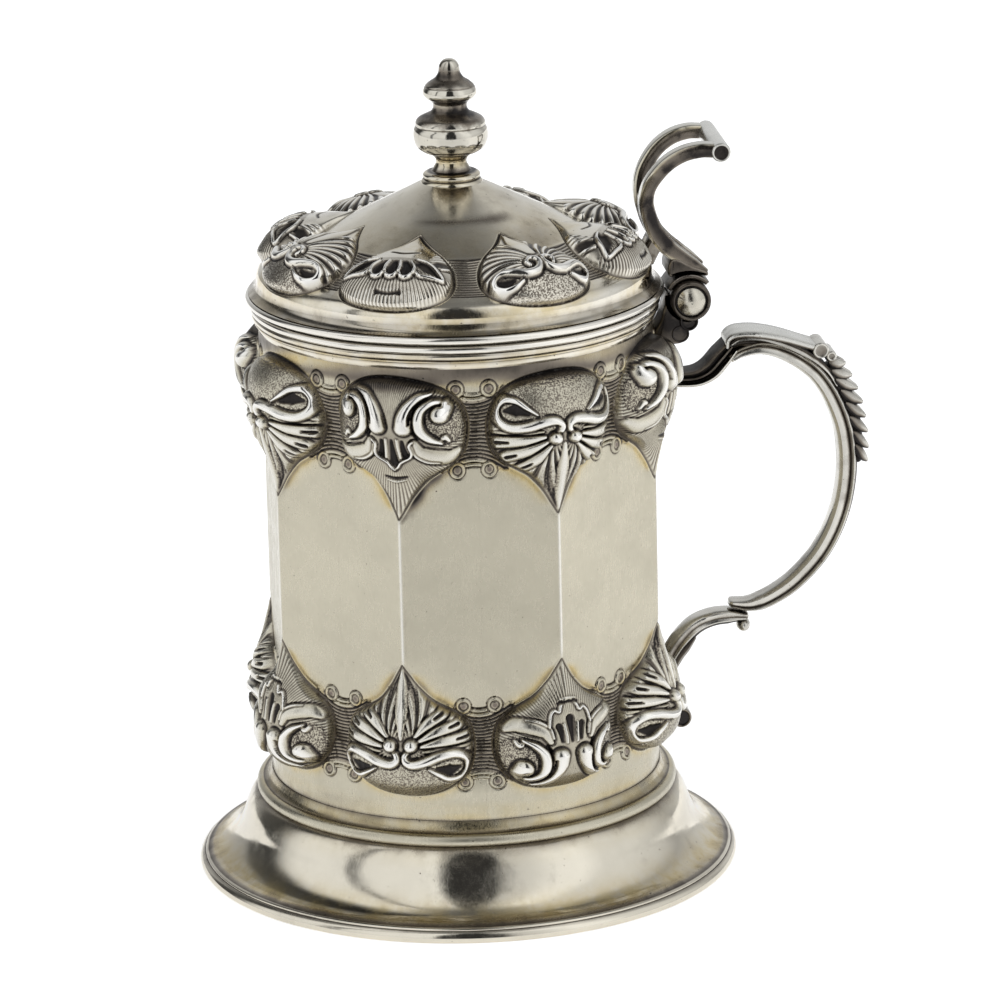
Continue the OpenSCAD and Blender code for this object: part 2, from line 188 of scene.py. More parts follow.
def finish_tile(tile, gap):
    """Chases the groove round the outline and works out the oxide with painted shade, and the burnish with painted
    highlight.
    """
    trench = line_at(gap, -0.1, 0.26)
    tile.rise = blur(tile.rise * smoothstep(0.0, 0.6, gap), 0.8) - 0.45 * trench
    cavity = blur(tile.rise, 5) - tile.rise
    tone = blur(tile.tone, 1.0) * smoothstep(-0.1, 0.5, gap)
    # Oxide gathers in the hollows and painted shade where the tone is low; burnish and painted highlight go where
    # it is high.
    tile.oxide = np.clip(0.34 + 1.1 * cavity - 0.5 * tone, 0, 1) * smoothstep(-0.2, 0.4, gap)
    tile.oxide = np.maximum(tile.oxide, 0.85 * trench)
    tile.shine = np.clip(1.25 * tone - 0.8 * cavity - 0.4, 0, 1) * (1 - 0.8 * tile.grain)
    tile.gap = gap
    return tile


def bow_tile():
    """The bow: two ribbons that loop from a pair of beads over a fan of flutes."""
    tile = Tile(20, -4, 38)
    gap = outline_gap(tile, BODY_OUTLINE)
    inside = gap > 0
    below = inside & (tile.y < 22.4 + 0.02 * np.abs(tile.x))
    tile.rays(below & (np.abs(tile.x) > 0.3), (2.4, 19.6), 15, 0.35, twist=1.6, sharp=0.6, tone=0.6,
              start=1.6)
    tile.rays(below, (2.0, 19.6), 3.4, 0.09, twist=1.6, tone=0.45, start=4)
    tile.grain[inside & (tile.y > 22)] = 1
    tile.tone[inside & (tile.y > 22)] = 0.45
    tile.lay([(0, 17.8), (0, 11), (0, 5), (0, 1)], [0.5, 1.7, 1.3, 0.3], 0.45, 0.75, 0.4, 0.25, mirror=False)
    for lobe in ([(3.4, 17.4), (6.4, 14.2), (9.6, 11.9)], [(4.2, 18.5), (8.6, 16.4), (13.2, 14.9)],
                 [(4.8, 19.8), (9.6, 19.0), (15.4, 18.4)]):
        tile.lay(lobe, [0.45, 1.4, 1.55], 0.85, 0.72, 0.5, 0.5)
    for slot in ([(9.4, 12.0), (7.9, 13.0)], [(13.2, 14.8), (11.4, 15.4)], [(15.6, 18.4), (13.2, 18.6)]):
        tile.lay(slot, [0.42, 0.3], -0.2, -1.0, 0.2, 0.05)
    tile.lay([(5.2, 21.2), (9, 21.0), (16, 20.8)], [0.3, 0.6, 0.4], 0.3, 0.2, 0.6)
    ribbon = [(2.3, 20.6), (1.1, 21.6), (1.0, 23.0), (2.6, 24.1), (5.6, 23.7), (9.2, 22.5), (12.8, 22.3),
              (15.3, 24.0), (15.6, 26.8), (13.8, 29.0), (11.0, 29.0), (8.8, 27.4), (6.4, 25.6)]
    tile.lay([(13.4, 26.2), (11, 26.5), (8.4, 25.7)], [0.5, 1.6, 0.4], -0.9, -1.1, 0.3, 0.1)
    tile.lay(ribbon, [0.5, 0.8, 1.0, 1.3, 1.45, 1.4, 1.3, 1.15, 1.0, 0.95, 0.9, 0.7, 0.3], 1.55, 0.95, 0.5)
    tile.lay([(2.5, 19.4)], [1.75], 1.9, 1.0, 0.5)
    tile.grain[(np.abs(tile.x) > 0.8) & (np.abs(tile.x) < 5) & (tile.y > 4) & (tile.y < 12) & inside] = 0.6
    return finish_tile(tile, gap)


def scroll_tile(crown):
    """The double scroll: two C scrolls with beads, two hanging lobes and a fluted crown."""
    tile = Tile(20, -4, 38)
    gap = outline_gap(tile, BODY_OUTLINE)
    inside = gap > 0
    tile.rays(inside, (0, 22), 2.9, 0.15, sharp=0.7, tone=0.6, start=2.5)
    leaf = [(5.2, 20.2), (6.2, 17.6), (9.0, 16.2), (12.4, 15.8), (15, 17.0)]
    tile.lay(leaf, [0.8, 1.9, 2.1, 1.9, 1.0], 0.8, 0.55, 0.5)
    tile.lay([(4.4, 19.4), (5.2, 16.6), (7.6, 14.9), (10.4, 14.4)], [0.3, 0.4, 0.4, 0.2], 0.6, 0.8, 0.4)
    ground = [(13.0, 22.4), (13.6, 24.8)]
    tile.lay(ground, [2.9, 2.4], -0.15, 0.12, 0.3, 0.1)
    disc = (np.hypot(np.abs(tile.x) - 12.2, (tile.y - 24) * 0.8) < 4.4) & inside
    tile.grain[disc] = 1
    tile.lay([(12.8, 20.0), (11.9, 21.0), (10.8, 20.2)], [0.5, 0.8, 0.5], 0.55, 0.8, 0.3)
    tile.lay([(8.4, 30.4), (5.4, 28.0), (4.9, 24.6), (5.8, 21.2)], [0.4, 0.8, 0.9, 0.4], -0.9, -1.0, 0.2,
             0.05)
    scroll = [(12.4, 29.6), (9.8, 30.0), (7.3, 28.6), (6.4, 26.0), (6.8, 23.2), (8.6, 21.0), (11.2, 19.6)]
    tile.lay(scroll, [0.5, 0.8, 1.1, 1.3, 1.25, 1.0, 0.4], 1.5, 0.95, 0.6, 0.5)
    tile.lay([(12.4, 29.4), (12.4, 28.4), (11.3, 27.0)], [1.0, 1.9, 2.35], 1.9, 1.0, 0.5)
    lobe = [(9.4, 31.9), (6.4, 31.2), (4.4, 29.2), (3.3, 26.6), (3.0, 24.0)]
    tile.lay(lobe, [0.4, 0.95, 1.4, 1.8, 2.1], 1.9, 0.95, 0.5)
    tile.lay([(8.2, 31.0), (5.9, 29.4), (4.7, 27.2), (4.4, 25.0)], [0.2, 0.22, 0.25, 0.2], -0.1, -0.9, 0.15,
             0.05)
    tile.lay([(0, 20.6), (0, 17.5), (0, 14.9)], [0.3, 0.7, 1.1], -0.75, -1.1, 0.2, 0.05, mirror=False)
    tile.lay([(2.4, 20.4), (2.6, 18.2), (2.9, 16.6)], [0.35, 0.6, 0.85], -0.7, -1.1, 0.2, 0.05)
    tile.lay(crown, [0.36] * len(crown), 0.65, 0.95, 0.4)
    tile.lay([(1.3, 20.8), (1.4, 18.6), (1.7, 16.0)], [0.4, 0.4, 0.35], 0.4, 0.7, 0.2, 0.1)
    tile.lay([(-2.6, 10.9), (0, 10.5), (2.6, 10.9)], [0.22, 0.34, 0.22], -0.45, -1.1, 0.2, 0.05, mirror=False)
    tile.lay([(-2.2, 10.0), (0, 9.6), (2.2, 10.0)], [0.2, 0.3, 0.2], 0.35, 0.8, 0.2, 0.05, mirror=False)
    return finish_tile(tile, gap)


POINTED_CROWN = [(4.7, 20.4), (3.9, 19.3), (4.3, 17.4), (3.9, 16.2), (2.5, 15.3), (1.5, 14.6), (0.8, 13.5),
                 (0, 12.8)]
ARCHED_CROWN = [(5.2, 16.4), (4.7, 13.6), (3.7, 12.4), (2.6, 12.9), (2.0, 11.4), (1.0, 10.4), (0, 10.2)]


def link_tile():
    """The reeded link between two medallions of a band, with a small volute at each of its corners."""
    tile = Tile(11, -4, 38)
    x, y = tile.x, tile.y
    middle, half_tall, bow = 21.3, 7.2, 0.052
    level = middle + (y - middle) / (1 + bow * np.minimum(x ** 2, 60) / half_tall)
    inside = smoothstep(half_tall + 0.35, half_tall, np.abs(level - middle))
    reeds = np.cos(2 * np.pi * level / LINK_PITCH)
    tile.rise = inside * (0.45 + 0.20 * reeds)
    tile.tone = inside * (0.9 * reeds - 0.1)
    for edge, side in ((middle + half_tall, 1), (middle - half_tall, -1)):
        for shift, height, width, reach in ((0.35, 0.45, 0.55, 6.4), (1.45, 0.35, 0.45, 4.4)):
            line = edge + side * shift
            gap = np.abs(level - line)
            ends = smoothstep(reach + 0.4, reach, np.abs(x))
            strip = np.sqrt(np.clip(1 - (gap / width) ** 2, 0, 1)) * ends
            tile.rise = np.maximum(tile.rise, (0.3 + height) * strip)
            tile.tone = np.where((gap < width) & (ends > 0.5), 0.75 * strip, tile.tone)
            dark = line_at(level - line, side * 0.62, 0.2) * ends
            tile.rise -= 0.28 * dark
            tile.tone -= 1.2 * dark
    for volute_y in VOLUTE_YS:
        gap = np.hypot(np.abs(x) - VOLUTE_X, y - volute_y)
        disc = gap < 2.15
        tile.rise = np.where(disc, 0.25, tile.rise)
        tile.tone = np.where(disc, 0.35, tile.tone)
        for ring, height, width, tone in ((2.15, -0.32, 0.2, -1.3), (1.62, 0.22, 0.4, 0.8),
                                          (1.12, -0.3, 0.18, -1.3)):
            band = line_at(gap, ring, width)
            tile.rise += height * band
            tile.tone = np.where(band > 0.25, tone * band, tile.tone)
        tile.tone = np.where(gap < 0.9, -0.25, tile.tone)
    cavity = blur(tile.rise, 4) - tile.rise
    ground = inside * (np.abs(level - middle) < half_tall)
    eyes = sum(np.exp(-(np.hypot(np.abs(x) - VOLUTE_X, y - volute_y) / 0.8) ** 4) for volute_y in VOLUTE_YS)
    tile.plum = np.maximum(0.65 * ground, np.minimum(eyes, 1))
    worked = smoothstep(0.02, 0.15, blur(np.abs(tile.rise), 2))
    tile.oxide = np.clip(0.50 * ground + 0.9 * cavity - 0.6 * blur(tile.tone, 0.8), 0, 1) * worked
    return tile


def moustache_tile():
    """The lid's bow: two S ribbons that curl together at the top and loop at their outer ends."""
    tile = Tile(20, -4, 32)
    gap = outline_gap(tile, LID_OUTLINE)
    inside = gap > 0
    above = inside & (tile.y < 19.5) & (tile.y > 4.5 + 0.25 * (6 - np.abs(tile.x)))
    tile.rays(above & (np.abs(tile.x) > 1.5), (1.2, 18.4), 13, 0.3, twist=-1.8, sharp=0.7, tone=0.75,
              start=2.2)
    tile.grain[inside & (tile.y > 19)] = 1
    tile.tone[inside & (tile.y > 19)] = 0.3
    tile.tone[inside & (tile.y < 7)] += 0.4
    tile.lay([(0, 2), (0, 7), (0, 13)], [0.6, 2.4, 1.2], 0.3, 0.5, 0.8, 0.1, mirror=False)
    tile.lay([(10.9, 19.9), (9.4, 20.9), (7.9, 21.0)], [0.5, 0.95, 0.5], -0.7, -1.1, 0.2, 0.05)
    ribbon = [(2.9, 18.6), (3.3, 17.1), (2.0, 16.0), (0.7, 16.8), (0.7, 18.7), (2.2, 20.4), (4.6, 20.6),
              (7.2, 19.2), (9.8, 18.0), (11.8, 18.6), (12.2, 20.6), (10.6, 22.4), (8.2, 22.8), (6.0, 22.0)]
    width = [0.45, 0.6, 0.7, 0.8, 0.95, 1.15, 1.2, 1.0, 0.85, 0.8, 0.8, 0.75, 0.65, 0.35]
    tile.lay(ribbon, width, 1.2, 0.95, 0.5)
    return finish_tile(tile, gap)


def shell_tile():
    """The lid's shell: three hollow flutes with a scalloped rim between two leaves, over fine hatching."""
    tile = Tile(20, -4, 32)
    gap = outline_gap(tile, LID_OUTLINE)
    inside = gap > 0
    tile.rays(inside & (tile.y > 17), (0, 8), 2.9, 0.13, sharp=0.7, tone=0.5, start=6)
    tile.tone[inside & (tile.y > 23.5)] += 0.25
    tile.tone[inside & (tile.y < 12)] += 0.45
    dark = inside & (tile.y < 14) & (np.abs(tile.x) > 6.8)
    tile.rays(dark, (0, 18), 6, 0.14, tone=0.4, start=4)
    tile.lay([(11.2, 10.6), (9.4, 12.2), (8.2, 14.0)], [1.0, 1.5, 0.5], -0.5, -0.9, 0.2, 0.05)
    tile.lay([(11.8, 9.2), (12.0, 12.0), (10.2, 14.4)], [0.35, 0.5, 0.3], 0.6, 0.9, 0.4)
    tile.lay([(5.6, 14.4), (7.8, 16.0), (10.2, 17.4)], [1.1, 1.6, 0.4], -0.6, -0.95, 0.3, 0.1)
    leaf = [(4.4, 12.6), (7.2, 13.4), (9.6, 15.6), (11.6, 18.3), (8.8, 19.0), (6.4, 19.2), (5.0, 17.8)]
    tile.lay(leaf, [0.35, 0.4, 0.42, 0.45, 0.5, 0.5, 0.35], 0.7, 0.95, 0.4)
    for x in (0, 3.2):
        tile.lay([(x * 0.7, 14.2), (x, 16.8), (x, 19.0)], [0.5, 1.0, 1.15], -0.8, -1.1, 0.2, 0.05,
                 mirror=x > 0)
        tile.lay([(x - 1.5, 18.3), (x - 1.0, 19.9), (x, 20.5), (x + 1.0, 19.9), (x + 1.5, 18.3)],
                 [0.35, 0.5, 0.55, 0.5, 0.35], 0.8, 0.95, 0.4, mirror=x > 0)
    for x in (1.6, 4.8):
        tile.lay([(x * 0.75, 14.0), (x, 16.6), (x, 18.6)], [0.3, 0.4, 0.45], 0.75, 0.9, 0.2, 0.1)
    tile.lay([(-2.6, 24.0), (0, 24.3), (2.6, 24.0)], [0.26, 0.2, 0.26], -0.45, -1.1, 0.15, 0.05, mirror=False)
    tile.lay([(2.7, 24.0)], [0.5], -0.5, -1.1, 0.15, 0.05)
    tile.lay([(-3.2, 8.6), (0, 9.6), (3.2, 8.6)], [0.15, 0.3, 0.15], -0.35, -0.8, 0.3, 0.05, mirror=False)
    return finish_tile(tile, gap)


# ---- meshes ---------------------------------------------------------------------------------------

# Of these masks, the first darkens with oxide in the hollows and painted shade, the last lightens with burnish and
# painted highlight.
MASKS = ("oxide", "gold", "plum", "grain", "shine")


def make_piece(name, points, faces, body, slot, material, masks=None, flat=(), sharp_angle=None):
    """A mesh object from points in mm. masks holds one value a point, flat names the flat-shaded faces."""
    mesh = bpy.data.meshes.new(name)
    mesh.from_pydata((np.asarray(points) * MM).tolist(), [], faces)
    smooth = np.ones(len(faces), bool)
    smooth[list(flat)] = False
    mesh.polygons.foreach_set("use_smooth", smooth)
    for mask in MASKS:
        values = (masks or {}).get(mask)
        layer = mesh.attributes.new(mask, "FLOAT", "POINT")
        if values is not None:
            layer.data.foreach_set("value", np.asarray(values, np.float32).ravel())
    if sharp_angle:
        mesh.set_sharp_from_angle(angle=math.radians(sharp_angle))
    mesh.materials.append(material)
    piece = bpy.data.objects.new(name, mesh)
    bpy.context.scene.collection.objects.link(piece)
    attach(piece, body)
    return piece


def grid_faces(rows, columns, first=0, flip=False, wrap=False):
    """Quads between the points of a grid that starts at point first."""
    i = np.arange(rows - 1)[:, None] * columns
    j = np.arange(columns if wrap else columns - 1)[None, :]
    k = (j + 1) % columns
    quads = np.stack([i + j, i + k, i + columns + k, i + columns + j], -1).reshape(-1, 4) + first
    return (quads[:, ::-1] if flip else quads).tolist()


def shell_piece(name, outer, inner, masks, **where):
    """A closed wedge of shell from an outer and an inner grid of points with the same columns."""
    rows, columns = outer.shape[:2]
    inner_rows = inner.shape[0]
    start = rows * columns
    faces = grid_faces(rows, columns) + grid_faces(inner_rows, columns, start, flip=True)
    walls = []
    for j in range(columns - 1):
        walls.append([start + j, start + j + 1, j + 1, j])
        top, in_top = (rows - 1) * columns, start + (inner_rows - 1) * columns
        walls.append([top + j, top + j + 1, in_top + j + 1, in_top + j])
    left = [i * columns for i in range(rows)] + [start + i * columns for i in reversed(range(inner_rows))]
    right = [i + columns - 1 for i in left][::-1]
    walls += [left, right]
    flat = range(len(faces), len(faces) + len(walls))
    full = {key: np.concatenate([value.ravel(), np.full(inner_rows * columns, INSIDE_MASK[key])])
            for key, value in masks.items()}
    points = np.concatenate([outer.reshape(-1, 3), inner.reshape(-1, 3)])
    return make_piece(name, points, faces + walls, masks=full, flat=flat, sharp_angle=75, **where)


def lathe(name, runs, steps=6, segments=360, sharp_angle=32, across_at=None, **where):
    """A turned piece. runs is a closed outline of [radius, height, oxide and painted shade, gold] in smooth runs.
    It turns about Z, or about the line along Y through the [x, z] of across_at, with height as y."""
    outline = []
    for run in runs:
        run = np.array([list(p) + [0] * (4 - len(p)) for p in run], float)
        outline.extend((smooth_path(run, steps) if len(run) > 2 else run).tolist())
    outline = [p for i, p in enumerate(outline) if np.hypot(*np.subtract(p, outline[i - 1])[:2]) > 1e-4]
    outline = np.array(outline)
    turn = np.linspace(0, 2 * np.pi, segments, endpoint=False)
    count = len(outline)
    points = np.stack([np.outer(outline[:, 0], np.cos(turn)), np.outer(outline[:, 0], np.sin(turn)),
                       np.repeat(outline[:, 1][:, None], segments, 1)], -1).reshape(-1, 3)
    if across_at is not None:
        points = np.stack([points[:, 0] + across_at[0], points[:, 2], across_at[1] - points[:, 1]], -1)
    on_axis = outline[:, 0] < 1e-6
    faces = []
    for i in range(count):
        k = (i + 1) % count
        if on_axis[i] and on_axis[k]:
            continue
        for j in range(segments):
            m = (j + 1) % segments
            face = [i * segments + j, i * segments + m, k * segments + m, k * segments + j]
            if on_axis[i]:
                face = [i * segments, k * segments + m, k * segments + j]
            elif on_axis[k]:
                face = [i * segments + j, i * segments + m, k * segments]
            faces.append(face)
    used = np.unique(np.concatenate([np.array(f) for f in faces]))
    place = np.full(len(points), -1)
    place[used] = np.arange(len(used))
    faces = [place[f].tolist() for f in faces]
    masks = {"oxide": np.repeat(np.clip(outline[:, 2], 0, 1), segments)[used],
             "gold": np.repeat(np.clip(outline[:, 3], 0, 1), segments)[used]}
    return make_piece(name, points[used], faces, masks=masks, sharp_angle=sharp_angle, **where)


def sweep(name, route, section, thick, width, side=(0, 0), steps=8, ends=(0.0, 0.0), sharp_angle=40, **where):
    """A band along a route of [x, z]. section is a closed list of [out, across, oxide and painted shade, gold].
    thick, width and side are read along the route, and ends rounds its ends by that much of its thickness."""
    path = smooth_path(route, steps)
    step = np.gradient(path, axis=0)
    step /= np.linalg.norm(step, axis=1, keepdims=True)
    t = np.concatenate([[0], np.cumsum(np.linalg.norm(np.diff(path, axis=0), axis=1))])
    t /= t[-1]
    rings = [(path[i], step[i], t[i], 1.0) for i in range(len(path))]
    for end, place, sign in ((0, 0, -1), (1, -1, 1)):
        if ends[end]:
            extra = []
            for u in (0.35, 0.65, 0.87, 0.98):
                push = sign * u * ends[end] * read_along(thick, t[place]) / 2
                extra.append((path[place] + step[place] * push, step[place], t[place], math.sqrt(1 - u * u)))
            rings = extra[::-1] + rings if end == 0 else rings + extra
    section = np.array([list(p) + [0] * (4 - len(p)) for p in section], float)
    points = []
    for at, ahead, place, shrink in rings:
        out = np.array([-ahead[1], ahead[0]])
        half_thick = read_along(thick, place) / 2 * shrink
        half_wide = read_along(width, place) / 2 * shrink
        shift = read_along(side, place)
        xz = at + np.outer(section[:, 0] * half_thick, out)
        points.append(np.stack([xz[:, 0], section[:, 1] * half_wide + shift, xz[:, 1]], -1))
    around = len(section)
    points = np.concatenate(points)
    faces = grid_faces(len(rings), around, wrap=True)
    faces += [list(range(around))[::-1], [(len(rings) - 1) * around + i for i in range(around)]]
    masks = {"oxide": np.tile(section[:, 2], len(rings)), "gold": np.tile(section[:, 3], len(rings))}
    return make_piece(name, points, faces, masks=masks, sharp_angle=sharp_angle, **where)


def mirrored(half):
    """A whole section for sweep from its half on the +across side, which starts and ends at across 0."""
    return list(half) + [(out, -across, *toning) for out, across, *toning in half[-2:0:-1]]


def flipped(runs):
    """The runs of an outline for lathe as seen in a mirror across height 0."""
    return [[(radius, -height, *toning) for radius, height, *toning in run[::-1]] for run in runs[::-1]]


def slab(name, runs, half, bevel=0.5, steps=5, oxide=0.0, edge_oxide=None, **where):
    """A plate along Y from a closed outline of [x, z] in smooth runs, with rounded edges."""
    outline = []
    for run in runs:
        outline.extend((smooth_path(run, steps) if len(run) > 2 else np.array(run, float)).tolist())
    outline = np.array([p for i, p in enumerate(outline) if np.hypot(*np.subtract(p, outline[i - 1])) > 1e-3])
    ahead = np.roll(outline, -1, 0) - np.roll(outline, 1, 0)
    ahead /= np.linalg.norm(ahead, axis=1, keepdims=True)
    area = np.sum(outline[:, 0] * np.roll(outline[:, 1], -1) - outline[:, 1] * np.roll(outline[:, 0], -1))
    inward = np.stack([-ahead[:, 1], ahead[:, 0]], -1) * np.sign(area)
    rings = []
    for turn in (0, 30, 60, 90):
        turn = math.radians(turn)
        rings.append((outline + inward * bevel * (1 - math.sin(turn)), half - bevel * (1 - math.cos(turn))))
    rings = [(ring, -y) for ring, y in rings] + [(ring, y) for ring, y in rings[::-1]]
    points = np.concatenate([np.stack([ring[:, 0], np.full(len(ring), y), ring[:, 1]], -1) for ring,
                             y in rings])
    edge = oxide if edge_oxide is None else edge_oxide
    shades = np.repeat([oxide, edge, edge, oxide, oxide, edge, edge, oxide], len(outline))
    count = len(outline)
    faces = grid_faces(len(rings), count, wrap=True, flip=area < 0)
    ends = [list(range(count)), [(len(rings) - 1) * count + i for i in range(count)][::-1]]
    faces += ends if area < 0 else [end[::-1] for end in ends]
    return make_piece(name, points, faces, masks={"oxide": shades}, sharp_angle=40, **where)


# ---- materials ------------------------------------------------------------------------------------

# The brown and near-black colours stand for oxide and painted shade, the pale one for burnish and painted
# highlight.
BROWN_COLOUR = (0.18, 0.155, 0.127)
OXIDE_AND_SHADE_COLOUR = (0.030, 0.027, 0.026)
GOLD_COLOUR = (0.52, 0.41, 0.19)
BURNISH_AND_HIGHLIGHT_COLOUR = (0.80, 0.785, 0.755)
PLUM_COLOUR = (0.17, 0.140, 0.122)


class Nodes:
    """A short way to write a node tree."""

    def __init__(self, owner):
        self.owner = owner
        owner.use_nodes = True
        self.tree = owner.node_tree
        self.tree.nodes.clear()

    def add(self, kind, values=None, **settings):
        node = self.tree.nodes.new(kind)
        for key, value in settings.items():
            setattr(node, key, value)
        for key, value in (values or {}).items():
            if isinstance(value, bpy.types.NodeSocket):
                self.tree.links.new(value, node.inputs[key])
            else:
                node.inputs[key].default_value = value
        return node

    def noise(self, scale, detail=3.0, roughness=0.55, stretch=(1, 1, 1), turn=(0, 0, 0)):
        coordinates = self.add("ShaderNodeTexCoord").outputs["Object"]
        mapping = self.add("ShaderNodeMapping", {"Vector": coordinates, "Scale": stretch, "Rotation": turn})
        return self.add("ShaderNodeTexNoise", {"Vector": mapping.outputs[0], "Scale": scale, "Detail": detail,
                                               "Roughness": roughness}).outputs["Fac"]

    def span(self, value, low, high, to_low=0.0, to_high=1.0, kind="SMOOTHSTEP"):
        return self.add("ShaderNodeMapRange",
                        {"Value": value, "From Min": low, "From Max": high, "To Min": to_low,
                         "To Max": to_high}, interpolation_type=kind).outputs[0]

    def math(self, operation, first, second, clamp=False):
        return self.add("ShaderNodeMath", {0: first, 1: second}, operation=operation,
                        use_clamp=clamp).outputs[0]

    def mix(self, amount, first, second):
        return self.add("ShaderNodeMix", {0: amount, 6: first, 7: second}, data_type="RGBA").outputs[2]

    def mask(self, name):
        return self.add("ShaderNodeAttribute", attribute_name=name).outputs["Fac"]


def silver(name, colour, roughness, tarnish=0.0, mottle=0.5, satin=0.5, patches=170, burnish=0.0, matt=0.32):
    """Old silver. tarnish is oxide all over, mottle is uneven toning in so many patches to the metre, satin is the
    depth of fine wear, burnish how much smoother the worked parts are and matt how much rougher the oxide is."""
    n = Nodes(bpy.data.materials.new(name))
    cloud = n.noise(55, 4)
    patch = n.noise(patches, 5, 0.6)
    dots = n.noise(2600, 2, 0.5)
    speck = n.noise(1050, 2, 0.7)
    scratch = n.noise(2200, 2, 0.6, (1, 1, 0.25), (0.9, 0.5, 0))
    level = n.noise(2600, 2, 0.6)

    oxide = n.math("ADD", n.mask("oxide"),
                   n.span(cloud, 0.35, 0.75, tarnish - 0.1 * mottle, tarnish + 0.12 * mottle))
    oxide = n.math("ADD", oxide, n.span(patch, 0.45, 0.8, -0.05 * mottle, 0.2 * mottle))
    oxide = n.math("ADD", oxide, n.math("MULTIPLY", n.mask("grain"), n.span(dots, 0.40, 0.60, -0.1, 0.45)))
    oxide = n.math("ADD", oxide, n.span(speck, 0.70, 0.75, 0, 0.45), clamp=True)
    gold = n.math("MULTIPLY", n.mask("gold"), n.span(patch, 0.3, 0.62, 0.35, 1.15), clamp=True)

    tone = tuple(0.93 * c for c in colour) + (1,)
    base = n.mix(n.span(cloud, 0.35, 0.68), colour + (1,), tone)
    # Burnish and painted highlight lighten the metal.
    base = n.mix(n.mask("shine"), base, BURNISH_AND_HIGHLIGHT_COLOUR + (1,))
    base = n.mix(gold, base, GOLD_COLOUR + (1,))
    base = n.mix(n.mask("plum"), base, PLUM_COLOUR + (1,))
    # Oxide and painted shade darken it to brown, then to near black.
    base = n.mix(n.span(oxide, 0.05, 0.62), base, BROWN_COLOUR + (1,))
    base = n.mix(n.span(oxide, 0.50, 1.0), base, OXIDE_AND_SHADE_COLOUR + (1,))

    rough = n.math("ADD", n.span(oxide, 0, 1, 0, matt),
                   n.span(patch, 0.3, 0.7, roughness - 0.05, roughness + 0.06))
    rough = n.math("SUBTRACT", rough, n.span(n.mask("shine"), 0, 1, 0, 0.18))
    rough = n.math("SUBTRACT", rough, n.span(n.mask("oxide"), 0.03, 0.2, 0, burnish))
    rough = n.math("ADD", rough, n.span(scratch, 0.35, 0.65, -0.05 * satin, 0.1 * satin), clamp=True)

    surface = n.math("ADD", n.math("MULTIPLY", scratch, 0.35 * satin), n.math("MULTIPLY", level, 0.3 * satin))
    surface = n.math("ADD", surface, n.math("MULTIPLY", patch, 0.5 * satin))
    surface = n.math("ADD", surface, n.math("MULTIPLY", n.mask("grain"), n.math("MULTIPLY", dots, 3.0)))
    bump = n.add("ShaderNodeBump", {"Height": surface, "Distance": 0.00006, "Strength": 0.6})

    shader = n.add("ShaderNodeBsdfPrincipled", {"Base Color": base, "Roughness": rough, "Metallic": 1.0,
                                                "Normal": bump.outputs[0]})
    n.add("ShaderNodeOutputMaterial", {"Surface": shader.outputs[0]})
    return n.owner


satin_silver = silver("chased silver", (0.50, 0.465, 0.37), 0.30, mottle=0.4, satin=0.8, burnish=0.13)
bright_silver = silver("polished silver", (0.74, 0.71, 0.65), 0.13, mottle=0.3, satin=0.25)
cast_silver = silver("cast silver", (0.60, 0.58, 0.53), 0.19, tarnish=0.10, mottle=0.8, satin=0.5)
dull_silver = silver("tarnished silver", (0.54, 0.52, 0.46), 0.14, tarnish=0.45, mottle=1.8, satin=0.4,
                     matt=0.10)
black_silver = silver("oxidised silver", (0.30, 0.28, 0.27), 0.20, tarnish=0.85, mottle=1.2, satin=0.6,
                      matt=0.14)
worn_silver = silver("worn pin", (0.52, 0.49, 0.42), 0.22, tarnish=0.26, mottle=6.0, satin=1.0, patches=290)
pale_silver = silver("thumb rest silver", (0.66, 0.65, 0.61), 0.26, tarnish=0.06, mottle=0.6, satin=0.6)
foot_silver = silver("foot silver", (0.65, 0.605, 0.51), 0.13, tarnish=0.03, mottle=0.7, satin=0.3)
lid_silver = silver("lid silver", (0.66, 0.62, 0.53), 0.15, tarnish=0.04, mottle=0.6, satin=0.5, burnish=0.04)
finial_silver = silver("finial silver", (0.58, 0.55, 0.48), 0.07, tarnish=0.22, mottle=2.2, satin=0.3)


# ---- body and lid shells --------------------------------------------------------------------------

CORNERS = 8
CORNER_TURN = math.pi / CORNERS
CORNER_R = 49.6
CORNER_SOFT = 0.010
FLAT_R = CORNER_R * math.cos(CORNER_TURN)
COLLAR_R = 47.6
ARC_R = 50.0
FLAT_AT = ARC_R * CORNER_TURN
# The tips of the two bands of medallions. The lower ones are the same outline in 31.7 mm instead of 34.2.
UPPER_TIP, LOWER_TIP = 99.5, 63.0
LOWER_STRETCH = 34.2 / 31.7
WALL = 1.6
LINK_PITCH = 0.88
VOLUTE_X, VOLUTE_YS = 4.1, (11.3, 31.3)
# The chaser's hand: how far each link stands to one side of its place, in mm.
LINK_SHIFT = [0.3, -0.4, 0.5, -0.3, 0.2, -1.2, -0.5, 0.4]
INSIDE_MASK = {"oxide": 0.12, "gold": 0.25, "plum": 0.0, "grain": 0.0, "shine": 0.0}
# Neighbouring wedges overlap by this angle, so that no seam shows. Rows of points stand FINE apart on ornament.
OVERLAP = 0.0003
FINE = 0.2
BODY_COLUMNS, BODY_INNER_ROWS = 200, 60
BODY_LOW = 24.6
COLLAR_FROM = 131

# Height of a medallion's crown above the body, against the distance from its tip.
BODY_CROWN = ([0, 3, 8, 14, 20, 26, 30, 33, 34.2], [0, 0.3, 1.5, 3.2, 4.5, 4.9, 4.0, 1.7, 0.5])
LID_CROWN = ([0, 3, 8, 14, 18, 22, 25, 26.6], [0.2, 0.8, 2.6, 4.6, 5.2, 4.6, 2.9, 1.6])


def smooth_table(table, at):
    path = smooth_path(np.array(table).T)
    return np.interp(at, path[:, 0], path[:, 1])


